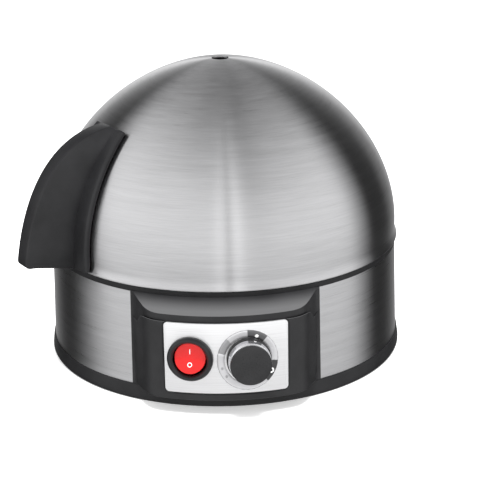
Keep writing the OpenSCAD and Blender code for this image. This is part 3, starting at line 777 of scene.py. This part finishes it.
def makeRocker():
    bm = bmesh.new()
    radius = rocker["radius"]
    segments = 72
    levels = [(radius * k / 9, 0.0) for k in range(1, 9)]
    levels += [(radius - 0.35, 0.02), (radius - 0.12, 0.12), (radius, 0.4)]
    rings = []
    for r, drop in levels:
        ring = []
        for k in range(segments):
            x, y = r * math.cos(math.tau * k / segments), r * math.sin(math.tau * k / segments)
            ring.append(pivotPlace @ (Vector((x, y, rockerFace(y) - drop)) * mm))
        rings.append([bm.verts.new(p) for p in ring])
    for height, r in [(-0.9, radius), (-1.0, 5.0), (-4.0, 5.0)]:
        ring = [Vector((r * math.cos(math.tau * k / segments), r * math.sin(math.tau * k / segments), height))
                for k in range(segments)]
        rings.append([bm.verts.new(pivotPlace @ (p * mm)) for p in ring])
    for one, two in zip(rings, rings[1:]):
        for k in range(segments):
            bm.faces.new([one[k], one[(k + 1) % segments], two[(k + 1) % segments], two[k]])
    middle = bm.verts.new(pivotPlace @ (Vector((0, 0, rockerFace(0))) * mm))
    for k in range(segments):
        bm.faces.new([middle, rings[0][k], rings[0][(k + 1) % segments]])
    bm.faces.new(rings[-1])
    piece = keepMesh("rockerButton", bm, redPlastic, 40)
    finishPiece(piece, "rocker", "rocker_red", "rocker")


def makeRockerMarks():
    bm = bmesh.new()

    def onFace(x, y, lift):
        return pivotPlace @ (Vector((x, y, rockerFace(y) + lift)) * mm)

    lift = rocker["mark"]
    sections = []
    for k in range(9):
        y = 2.0 + 2.6 * k / 8
        sections.append([onFace(x, y, h) for x, h in [(-0.18, -0.1), (-0.18, lift), (0.18, lift), (0.18, -0.1)]])
    sweepSections(bm, sections, False)
    ring = []
    for k in range(40):
        c, s = math.cos(math.tau * k / 40), math.sin(math.tau * k / 40)
        outline = [(0.82, -0.1), (0.82, lift), (1.18, lift), (1.18, -0.1)]
        ring.append([onFace(r * c, r * s - 3.3, h) for r, h in outline])
    sweepSections(bm, ring, True)
    marks = keepMesh("rockerMarks", bm, whiteInk)
    finishPiece(marks, "rocker", "rocker_red")


makeSwitch()
makeRocker()
makeRockerMarks()
print("switch made")

knob = {"foot": 0.8, "skirt": 11.1, "cap": 10.25, "top": 10.0, "ringSeat": 9.8, "ringFoot": 10.75, "ringTop": 10.4,
        "notchTurn": 216.0, "notchRadius": 1.3}


def makeKnob():
    cap = spunPiece("dialKnob", [
        (7.5, knob["foot"], 0), (knob["skirt"], knob["foot"], 0.25), (knob["skirt"], 3.0, 0.5),
        (knob["ringSeat"], 3.0, 0), (knob["ringSeat"], 8.4, 0), (knob["cap"], 8.4, 0.15),
        (knob["cap"], knob["top"] - 0.25, 0.45), (knob["cap"] - 3.0, knob["top"], 1.5), (0, knob["top"], 0),
        (0, 3.6, 0), (7.5, 3.6, 0.2)], knobPlastic, 128)
    bm = bmesh.new()
    notch = Matrix.Rotation(math.radians(knob["notchTurn"]), 4, "Z") @ Matrix.Translation(
        Vector(((knob["cap"] + 0.55) * mm, 0, 0)))
    pin = [Vector((x * mm, y * mm)) for x, y in [(0, 8.42), (knob["notchRadius"], 8.42), (1.6, 12), (0, 12)]]
    spin(bm, pin, 32, place=notch)
    cutAway(cap, keepMesh("notchCutter", bm, knobPlastic))
    bevelEdges(cap, 0.12, 2, 50)
    cap.data.transform(dialPlace)
    finishPiece(cap, "dial", "gloss_black", "dial_knob")
    ring = spunPiece("dialRing", [
        (knob["ringSeat"], 3.05, 0), (knob["ringFoot"], 3.05, 0.2), (knob["ringTop"], 8.35, 0.2),
        (knob["ringSeat"], 8.35, 0)], brightChrome, 128, place=dialPlace)
    finishPiece(ring, "dial", "bright_chrome", "dial_ring")


makeKnob()
print("dial made")


scale = {
    "inner": 11.4, "outer": 15.0, "lift": 0.05, "line": 0.18,
    "shift": (-0.4, -0.9), "tall": 1.045,
    "fields": [("dark", 49, 41), ("pale", 90, 42.6), ("middle", 132.6, 32), ("pale", 164.6, 146.4),
               ("black", -49, 44), ("pale", -5, 54)],
}


def treeInput(tree, name, value):
    socket = tree.interface.new_socket(name, in_out="INPUT", socket_type="NodeSocketFloat")
    socket.default_value = value
    return socket


# A flat field of the dial's printed ring, bent to the panel
def scaleTree(ink):
    tree = bpy.data.node_groups.new("scaleField", "GeometryNodeTree")
    tree.interface.new_socket("Geometry", in_out="INPUT", socket_type="NodeSocketGeometry")
    tree.interface.new_socket("Geometry", in_out="OUTPUT", socket_type="NodeSocketGeometry")
    for name in ("Start", "Sweep", "Inner radius", "Outer radius", "Bend radius", "Lift"):
        treeInput(tree, name, 1.0)
    given = addNode(tree, "NodeGroupInput").outputs
    grid = addNode(tree, "GeometryNodeMeshGrid")
    for key, value in [("Size X", 1.0), ("Size Y", 1.0), ("Vertices X", 33), ("Vertices Y", 4)]:
        grid.inputs[key].default_value = value
    split = addNode(tree, "ShaderNodeSeparateXYZ")
    tree.links.new(addNode(tree, "GeometryNodeInputPosition").outputs[0], split.inputs[0])
    u, v = calc(tree, "ADD", split.outputs[0], 0.5), calc(tree, "ADD", split.outputs[1], 0.5)
    turn = calc(tree, "ADD", given["Start"], calc(tree, "MULTIPLY", given["Sweep"], u))
    wide = calc(tree, "SUBTRACT", given["Outer radius"], given["Inner radius"])
    radius = calc(tree, "ADD", given["Inner radius"], calc(tree, "MULTIPLY", wide, v))
    x = calc(tree, "MULTIPLY", radius, calc(tree, "COSINE", turn))
    y = calc(tree, "MULTIPLY", radius, calc(tree, "SINE", turn))
    bend = given["Bend radius"]
    squares = calc(tree, "SUBTRACT", calc(tree, "MULTIPLY", bend, bend), calc(tree, "MULTIPLY", x, x))
    root = calc(tree, "SQRT", squares)
    z = calc(tree, "ADD", calc(tree, "SUBTRACT", root, bend), given["Lift"])
    place = addNode(tree, "ShaderNodeCombineXYZ")
    for socket, value in zip(place.inputs, (x, y, z)):
        tree.links.new(value, socket)
    move = addNode(tree, "GeometryNodeSetPosition")
    tree.links.new(grid.outputs["Mesh"], move.inputs["Geometry"])
    tree.links.new(place.outputs[0], move.inputs["Position"])
    return endTree(tree, move.outputs[0], ink)


def endTree(tree, geometry, material):
    real = addNode(tree, "GeometryNodeRealizeInstances")
    paint = addNode(tree, "GeometryNodeSetMaterial")
    paint.inputs["Material"].default_value = material
    tree.links.new(geometry, real.inputs[0])
    tree.links.new(real.outputs[0], paint.inputs["Geometry"])
    tree.links.new(paint.outputs[0], addNode(tree, "NodeGroupOutput").inputs[0])
    return tree


# Runs a node tree with the given inputs and keeps its result as a plain mesh
def grow(name, tree, values, material, place=None):
    piece = bpy.data.objects.new(name, bpy.data.meshes.new(name))
    scene.collection.objects.link(piece)
    modifier = piece.modifiers.new("grow", "NODES")
    modifier.node_group = tree
    names = {item.name: item.identifier for item in tree.interface.items_tree if item.in_out == "INPUT"}
    for key, value in values.items():
        modifier[names[key]] = value
    bpy.context.view_layer.update()
    mesh = bpy.data.meshes.new_from_object(piece.evaluated_get(bpy.context.evaluated_depsgraph_get()))
    bpy.data.objects.remove(piece)
    if place:
        mesh.transform(place)
    bm = bmesh.new()
    bm.from_mesh(mesh)
    bpy.data.meshes.remove(mesh)
    return keepMesh(name, bm, material)


# Gives a printed sheet a thickness, towards the panel
def thicken(piece, depth):
    bm = bmesh.new()
    bm.from_mesh(piece.data)
    outwards = dialOut
    for face in bm.faces:
        if face.normal.dot(outwards) < 0:
            face.normal_flip()
    made = bmesh.ops.extrude_face_region(bm, geom=list(bm.faces))
    for item in made["geom"]:
        if isinstance(item, bmesh.types.BMVert):
            item.co += outwards * depth
    bmesh.ops.recalc_face_normals(bm, faces=bm.faces)
    bm.to_mesh(piece.data)
    bm.free()


def makeScale():
    common = {"Bend radius": panel["bend"] * mm, "Lift": 0.01 * mm}
    fields = [(ink, start, sweep, scale["inner"], scale["outer"]) for ink, start, sweep in scale["fields"]]
    fields.append(("line", 0, 360, scale["outer"], scale["outer"] + scale["line"]))
    for i, (ink, start, sweep, inner, outer) in enumerate(fields):
        values = dict(common)
        values["Start"], values["Sweep"] = math.radians(start), math.radians(sweep)
        values["Inner radius"], values["Outer radius"] = inner * mm, outer * mm
        name = "dialScale" + ink.capitalize() + str(i + 1)
        field = grow(name, scaleTree(scaleInks[ink]), values, scaleInks[ink], scalePlace)
        thicken(field, scale["lift"] * mm)
        finishPiece(field, "base", "fascia_silver")


# Small marks on the scale: a ring at off, a pan at the end, eggs on the way
def makeScaleIcons():
    bm = bmesh.new()
    lift = (scale["lift"] + 0.05) * mm

    def onScale(x, y, height):
        sag = panel["bend"] - math.sqrt(panel["bend"] ** 2 - x * x)
        return scalePlace @ Vector((x * mm, y * mm, height - sag * mm))

    def spot(turn, radius, inner, outerX, outerY):
        cx, cy = radius * math.cos(math.radians(turn)), radius * math.sin(math.radians(turn))
        rings = []
        for k in range(28):
            c, s = math.cos(math.tau * k / 28), math.sin(math.tau * k / 28)
            line = []
            for fx, fy, h in [(inner * outerX, inner * outerY, 0), (inner * outerX, inner * outerY, lift),
                              (outerX, outerY, lift), (outerX, outerY, 0)]:
                line.append(onScale(cx + fx * c, cy + fy * s, h))
            rings.append(line)
        sweepSections(bm, rings, True)

    spot(-28, 13.2, 0.5, 1.35, 1.35)
    spot(69, 12.7, 0.02, 0.95, 0.8)
    icons = keepMesh("dialIconsWhite", bm, whiteInk)
    finishPiece(icons, "base", "fascia_silver")
    bm = bmesh.new()
    for turn in (197, 217):
        spot(turn, 13.2, 0.02, 0.62, 0.75)
    eggs = keepMesh("dialIconsGrey", bm, scaleInks["middle"])
    finishPiece(eggs, "base", "fascia_silver")


shift = scale["shift"]
scalePlace = (dialPlace @ Matrix.Translation(Vector((shift[0] * mm, shift[1] * mm, 0)))
              @ Matrix.Diagonal((1, scale["tall"], 1, 1)))
makeScale()
makeScaleIcons()
print("dial scale made")


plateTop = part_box("heating_plate")[1]
sealLow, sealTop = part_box("plate_seal")


def makePlate():
    rim, outer = plateTop.z / mm, plateTop.x / mm
    plate = spunPiece("heatingPlate", [
        (0, 50, 0), (70, 50, 3), (74.6, 51.2, 2), (77.9, rim - 0.8, 0.8), (outer, rim - 0.8, 0.1), (outer, rim, 0.3),
        (77.1, rim, 1.2), (74, 51.9, 2), (69.5, 50.8, 3), (0, 50.8, 0)], plateSteel, 160)
    bm = bmesh.new()
    bm.from_mesh(plate.data)
    stud = [Vector((x * mm, y * mm)) for x, y in [(0, 31), (1.6, 31), (2, 31.4), (2, 50.2), (0, 50.2)]]
    spin(bm, stud, 32)
    bpy.data.objects.remove(plate)
    plate = keepMesh("heatingPlate", bm, plateSteel)
    finishPiece(plate, "base", "plate_steel", "heating_plate")
    low, high = sealLow.z / mm, sealTop.z / mm
    seal = spunPiece("plateSeal", [(84.2, low, 0.2), (sealTop.x / mm, low, 0.2), (sealTop.x / mm, high, 0.2),
                                   (84.2, high, 0.2)], paleSilicone, 160)
    finishPiece(seal, "base", "seal_silicone", "plate_seal")


def makeGland():
    glandLow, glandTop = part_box("cord_gland")
    middle, end = gland["notchTop"] - 6.0, glandTop.y / mm
    place = Matrix.Translation(Vector((0, 0, middle * mm))) @ Matrix.Rotation(math.radians(-90), 4, "X")
    bore, neck, flange = gland["bore"], gland["neck"], gland["flange"]
    tube = spunPiece("glandTube", [
        (bore, end - 8.5, 0.2), (7.6, end - 8.5, 0.3), (7.6, end - 4.4, 0.2), (neck, end - 4.4, 0),
        (neck, end - 2.2, 0),
        (flange, end - 2.2, 0.2), (flange, end - 1.0, 0.3), (7.0, end, 0.5), (4.6, end, 0.5), (bore, end - 0.9, 0.4)],
        blackPlastic, 72, place=place)
    half, top = gland["notchHalf"] - gland["slack"], gland["notchTop"] - gland["slack"]
    tongue = block("glandTongue", (-half, end - 4.5, glandLow.z / mm), (half, end - 2.2, top), blackPlastic)
    plate = block("glandPlate", (-flange, end - 2.2, glandLow.z / mm), (flange, end - 1.0, middle), blackPlastic)
    for piece in (tongue, plate):
        bm = bmesh.new()
        reach = neck - 0.7
        drill = [Vector((r * mm, z * mm)) for r, z in [(0, end - 9), (reach, end - 9), (reach, end + 1), (0, end + 1)]]
        spin(bm, drill, 48, place=place)
        cutAway(piece, keepMesh("drill", bm, blackPlastic))
        bevelEdges(piece, 0.25, 2, 50)
    finishPiece(joinPieces("cordGland", [tube, tongue, plate]), "base", "black_plastic", "cord_gland")


makePlate()
makeGland()
print("plate and gland made")


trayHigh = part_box("egg_tray")[1]
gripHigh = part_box("tray_handle")[1]
tray = {"eggs": 7, "ring": 52.0, "hole": 17.0, "cupWall": 1.2, "cupDepth": 6.0, "steamHoles": 6,
        "steamRing": 22.0, "steamRadius": 2.5, "sheet": 2.0}


def flatOutline(curve, radius, x=0.0, y=0.0, steps=64):
    spline = curve.splines.new("POLY")
    spline.points.add(steps - 1)
    for k in range(steps):
        turn = math.tau * k / steps
        spline.points[k].co = (x + radius * math.cos(turn), y + radius * math.sin(turn), 0, 1)
    spline.use_cyclic_u = True


def makeTrayDisc():
    curve = bpy.data.curves.new("trayDisc", "CURVE")
    curve.dimensions = "2D"
    curve.fill_mode = "BOTH"
    edge = 0.35 * mm
    flatOutline(curve, trayHigh.x - edge, steps=160)
    for i in range(tray["eggs"]):
        turn = math.radians(90 + 360 * i / tray["eggs"])
        ring = tray["ring"] * mm
        flatOutline(curve, tray["hole"] * mm + edge, ring * math.cos(turn), ring * math.sin(turn))
    for i in range(tray["steamHoles"]):
        turn = math.tau * i / tray["steamHoles"]
        ring = tray["steamRing"] * mm
        flatOutline(curve, tray["steamRadius"] * mm + edge, ring * math.cos(turn), ring * math.sin(turn), 24)
    curve.extrude = tray["sheet"] * mm / 2 - edge
    curve.bevel_depth = edge
    curve.bevel_resolution = 2
    disc = bpy.data.objects.new("trayDisc", curve)
    scene.collection.objects.link(disc)
    bpy.context.view_layer.update()
    mesh = bpy.data.meshes.new_from_object(disc.evaluated_get(bpy.context.evaluated_depsgraph_get()))
    bpy.data.objects.remove(disc)
    mesh.transform(Matrix.Translation(Vector((0, 0, trayHigh.z - tray["sheet"] * mm / 2))))
    bm = bmesh.new()
    bm.from_mesh(mesh)
    bpy.data.meshes.remove(mesh)
    return keepMesh("trayDisc", bm, trayPlastic)


# Copies of one piece, evenly spaced round the Z axis
def ringTree(material):
    tree = bpy.data.node_groups.new("ringOfCopies", "GeometryNodeTree")
    tree.interface.new_socket("Geometry", in_out="INPUT", socket_type="NodeSocketGeometry")
    tree.interface.new_socket("Geometry", in_out="OUTPUT", socket_type="NodeSocketGeometry")
    tree.interface.new_socket("Count", in_out="INPUT", socket_type="NodeSocketInt")
    treeInput(tree, "Ring radius", 0.05)
    treeInput(tree, "First angle", 0.0)
    tree.interface.new_socket("Piece", in_out="INPUT", socket_type="NodeSocketObject")
    given = addNode(tree, "NodeGroupInput").outputs
    info = addNode(tree, "GeometryNodeObjectInfo")
    tree.links.new(given["Piece"], info.inputs["Object"])
    points = addNode(tree, "GeometryNodePoints")
    tree.links.new(given["Count"], points.inputs["Count"])
    index = addNode(tree, "GeometryNodeInputIndex").outputs[0]
    share = calc(tree, "DIVIDE", calc(tree, "MULTIPLY", index, math.tau), given["Count"])
    turn = calc(tree, "ADD", given["First angle"], share)
    place = addNode(tree, "ShaderNodeCombineXYZ")
    tree.links.new(calc(tree, "MULTIPLY", given["Ring radius"], calc(tree, "COSINE", turn)), place.inputs[0])
    tree.links.new(calc(tree, "MULTIPLY", given["Ring radius"], calc(tree, "SINE", turn)), place.inputs[1])
    tree.links.new(place.outputs[0], points.inputs["Position"])
    copies = addNode(tree, "GeometryNodeInstanceOnPoints")
    tree.links.new(points.outputs[0], copies.inputs["Points"])
    tree.links.new(info.outputs["Geometry"], copies.inputs["Instance"])
    return endTree(tree, copies.outputs[0], material)


def ringOf(name, part, count, radius, firstAngle, material):
    values = {"Count": count, "Ring radius": radius * mm, "First angle": math.radians(firstAngle), "Piece": part}
    made = grow(name, ringTree(material), values, material)
    bpy.data.objects.remove(part)
    return made


def makeTray():
    top = trayHigh.z / mm - tray["sheet"]
    wall = tray["hole"] + tray["cupWall"]
    cup = spunPiece("eggCup", [(tray["hole"], top - tray["cupDepth"], 0.5), (wall, top - tray["cupDepth"], 0.5),
                               (wall, top + 0.3, 0), (tray["hole"], top + 0.3, 0)], trayPlastic, 64)
    cups = ringOf("eggCups", cup, tray["eggs"], tray["ring"], 90, trayPlastic)
    lip = spunPiece("trayLip", [(86, top - 2.2, 0.4), (87.5, top - 2.2, 0.4), (87.5, top + 0.3, 0), (86, top + 0.3, 0)],
                    trayPlastic, 160)
    whole = joinPieces("eggTray", [makeTrayDisc(), cups, lip])
    finishPiece(whole, "tray", "tray_plastic", "egg_tray")


def makeTrayHandle():
    top, high = trayHigh.z / mm, gripHigh.z / mm
    ring, finger, thick = 17.0, 10.0, 9.0
    middle = high - ring
    stem = spunPiece("trayStem", [(0, top, 0), (12.8, top, 0.4), (12.4, top + 1.2, 1), (7, top + 4.5, 4),
                                  (5.4, top + 12, 6), (5.4, middle - ring + 4, 0), (0, middle - ring + 4, 0)],
                     trayPlastic, 64)
    place = Matrix.Translation(Vector((0, 0, middle * mm))) @ Matrix.Rotation(math.radians(90), 4, "X")
    half = thick / 2
    loop = spunPiece("trayLoop", [(finger, -half, 2.4), (ring, -half, 2.4), (ring, half, 2.4), (finger, half, 2.4)],
                     trayPlastic, 96, place=place)
    whole = joinPieces("trayHandle", [stem, loop])
    finishPiece(whole, "tray", "tray_plastic", "tray_handle")


makeTray()
makeTrayHandle()
print("tray made")


def makeFeet():
    foot = spunPiece("foot", [(0, 0, 0), (5.6, 0, 0.3), (6.6, 0.15, 0.5), (7, 0.9, 0.5), (7, 2, 0.1), (0, 2, 0)],
                     footRubber, 48)
    feet = ringOf("rubberFeet", foot, 4, 70, 45, footRubber)
    finishPiece(feet, "base", "foot_rubber", "rubber_feet")


def makeBaseScrews():
    screw = spunPiece("screw", [(0, 0.95, 0), (2.4, 0.75, 0.3), (3.1, 1.3, 0.3), (3.1, 2, 0), (1.4, 2, 0),
                                (1.4, 11, 0.2), (0, 11, 0)], screwSteel, 32)
    for long, wide in ((1.7, 0.3), (0.3, 1.7)):
        cutAway(screw, block("crossSlot", (-long, -wide, 0.4), (long, wide, 1.6), screwSteel))
    copies = []
    for x, y in [(-34, -76), (34, -76)]:
        copy = bpy.data.objects.new("screwCopy", screw.data.copy())
        scene.collection.objects.link(copy)
        copy.data.transform(Matrix.Translation(Vector((x * mm, y * mm, 0))))
        copies.append(copy)
    ring = ringOf("screwRing", screw, 4, 84, 45, screwSteel)
    screws = joinPieces("baseScrews", [ring] + copies)
    finishPiece(screws, "base", "screw_steel", "base_screws")


makeFeet()
makeBaseScrews()
print("feet and screws made")


keptFinishes = {
    "bottom_cover": coverPlastic, "heating_element": elementSteel, "element_clamp": bracketSteel,
    "stud_nuts": screwSteel, "thermostat": paleCeramic, "thermal_fuse": contactBrass,
    "heat_shield": shieldAluminium, "terminal_block": palePlastic, "switch_terminals": contactBrass,
    "regulator_body": palePlastic, "regulator_nut": screwSteel, "regulator_shaft": screwSteel,
    "circuit_board": boardPlastic, "buzzer": bezelPlastic, "handle_screws": screwSteel,
    "handle_washers": screwSteel, "tray_screw": screwSteel,
}
for nodeName, material in keptFinishes.items():
    mesh = nodes[nodeName].data
    mesh.materials.clear()
    mesh.materials.append(material)
print("kept parts finished")


studio = {
    "distance": 0.837, "pitch": 18.0, "roll": 1.19, "lens": 115.1, "aim": 0.06975,
    "aimAside": 0.62, "aimBelow": 0.907,  # how far the view's centre is from the aim, in degrees
    "evenLight": 1.0,
    "floorColor": (0.92, 0.92, 0.92),
    "floorGlow": 0.45,
}


def makeFloor():
    bm = bmesh.new()
    bmesh.ops.create_grid(bm, x_segments=1, y_segments=1, size=6.0)
    for vert in bm.verts:
        vert.co.z = -0.0002
    material, tree, shader = newMaterial("paleFloor", studio["floorColor"], 0.9)
    shader.inputs["Specular IOR Level"].default_value = 0.1
    shader.inputs["Emission Color"].default_value = (1, 1, 1, 1)
    shader.inputs["Emission Strength"].default_value = studio["floorGlow"]
    floor = keepMesh("floor", bm, material)
    floor.visible_glossy = False  # the steel mirrors the studio below the horizon, not the floor


# A smooth curve through (value, level) stops, for values between low and high
def ramp(tree, value, stops, low, high):
    place = spread(tree, value, 0.0, 1.0, low, high)
    node = addNode(tree, "ShaderNodeValToRGB")
    elements = node.color_ramp.elements
    while len(elements) < len(stops):
        elements.new(0.5)
    for element, (x, level) in zip(elements, stops):
        element.position = (x - low) / (high - low)
        element.color = (level / 2, level / 2, level / 2, 1)
    node.color_ramp.interpolation = "EASE"
    tree.links.new(place, node.inputs["Fac"])
    return calc(tree, "MULTIPLY", node.outputs["Color"], 2.0)


def makeStudio():
    world = bpy.data.worlds.new("studio")
    scene.world = world
    world.use_nodes = True
    world.cycles.sampling_method = "NONE"
    tree = world.node_tree
    tree.nodes.clear()
    split = addNode(tree, "ShaderNodeSeparateXYZ")
    tree.links.new(addNode(tree, "ShaderNodeTexCoord").outputs["Generated"], split.inputs[0])
    x, y, z = split.outputs
    turn = calc(tree, "DEGREES", calc(tree, "ARCTAN2", x, calc(tree, "MULTIPLY", y, -1.0)))
    rise = calc(tree, "DEGREES", calc(tree, "ARCSINE", z))
    # the big front light, with its sides leaning back as they rise
    lean = calc(tree, "MULTIPLY", calc(tree, "MAXIMUM", calc(tree, "SUBTRACT", rise, 35.0), 0.0), 0.7)
    lateLeft = spread(tree, rise, -9.0, 12.0, -15.0, 25.0)
    onLeft = calc(tree, "MULTIPLY", calc(tree, "LESS_THAN", turn, 0.0), lateLeft)
    fromEdge = calc(tree, "SUBTRACT", calc(tree, "SUBTRACT", calc(tree, "ABSOLUTE", turn), lean), onLeft)
    front = spread(tree, fromEdge, 1.0, 0.0, 90.0, 112.0)
    height = ramp(tree, rise, [(-60, 0.9), (-18, 1.0), (5, 1.45), (20, 1.8), (35, 1.6), (50, 1.05), (65, 0.72),
                               (80, 0.35), (90, 0.22)], -90, 90)
    dip = ramp(tree, turn, [(-60, 1.0), (8, 0.95), (24, 0.62), (45, 0.78), (90, 0.85)], -180, 180)
    high = spread(tree, rise, 0.0, 1.0, 10.0, 38.0)
    dipped = calc(tree, "ADD", 1.0, calc(tree, "MULTIPLY", calc(tree, "SUBTRACT", dip, 1.0), high))
    lines = ramp(tree, turn, [(-8, 1.0), (-3.5, 1.25), (0.5, 1.2), (3.2, 0.35), (5.5, 1.2), (9, 1.35), (15, 1.0)],
                 -20, 20)
    frontLight = calc(tree, "MULTIPLY", calc(tree, "MULTIPLY", front, height), calc(tree, "MULTIPLY", dipped, lines))
    # the pale backdrop behind
    back = ramp(tree, calc(tree, "ABSOLUTE", turn), [(132, 0.0), (150, 0.25), (163, 0.7), (176, 1.5)], 0, 180)
    low = ramp(tree, rise, [(-50, 0.5), (-15, 0.9), (5, 1.0), (22, 0.6), (36, 0.28), (55, 0.1), (80, 0.05)], -90, 90)
    total = calc(tree, "ADD", frontLight, calc(tree, "MULTIPLY", back, low))
    total = calc(tree, "ADD", total, 0.05)
    lit = addNode(tree, "ShaderNodeBackground")
    tree.links.new(total, lit.inputs["Strength"])
    even = addNode(tree, "ShaderNodeBackground")
    even.inputs["Strength"].default_value = studio["evenLight"]
    path = addNode(tree, "ShaderNodeLightPath").outputs
    shine = addNode(tree, "ShaderNodeMixShader")
    tree.links.new(path["Is Glossy Ray"], shine.inputs["Fac"])
    tree.links.new(even.outputs[0], shine.inputs[1])
    tree.links.new(lit.outputs[0], shine.inputs[2])
    tree.links.new(shine.outputs[0], addNode(tree, "ShaderNodeOutputWorld").inputs["Surface"])
    scene.view_settings.view_transform = "Standard"


def addLight(name, turn, rise, distance, size, power):
    data = bpy.data.lights.new(name, "AREA")
    data.shape = "DISK"
    data.size = size
    data.energy = power
    lamp = bpy.data.objects.new(name, data)
    lamp.visible_glossy = False
    scene.collection.objects.link(lamp)
    a, e = math.radians(turn), math.radians(rise)
    aim = Vector((0, 0, studio["aim"]))
    lamp.location = aim + Vector((math.sin(a) * math.cos(e), -math.cos(a) * math.cos(e), math.sin(e))) * distance
    lamp.rotation_euler = (aim - lamp.location).to_track_quat("-Z", "Y").to_euler()


def makeCamera():
    pitch, roll = math.radians(studio["pitch"]), math.radians(studio["roll"])
    ahead = Vector((0, math.cos(pitch), -math.sin(pitch)))
    right, up = Vector((1, 0, 0)), Vector((0, math.sin(pitch), math.cos(pitch)))
    leaned = right * math.cos(roll) - up * math.sin(roll)
    upright = right * math.sin(roll) + up * math.cos(roll)
    data = bpy.data.cameras.new("camera")
    data.lens = studio["lens"]
    data.sensor_width = 36
    aside, below = math.tan(math.radians(studio["aimAside"])), math.tan(math.radians(studio["aimBelow"]))
    view = (ahead + leaned * aside - upright * below).normalized()
    camera = bpy.data.objects.new("camera", data)
    scene.collection.objects.link(camera)
    camera.location = Vector((0, 0, studio["aim"])) - ahead * studio["distance"]
    side = view.cross(upright).normalized()
    top = side.cross(view)
    camera.rotation_mode = "QUATERNION"
    camera.rotation_quaternion = Matrix((side, top, -view)).transposed().to_quaternion()
    data.clip_start, data.clip_end = 0.05, 30
    scene.camera = camera


makeFloor()
makeStudio()
makeCamera()
addLight("keyLight", 10, 72, 1.2, 0.5, 24)
print("studio made")
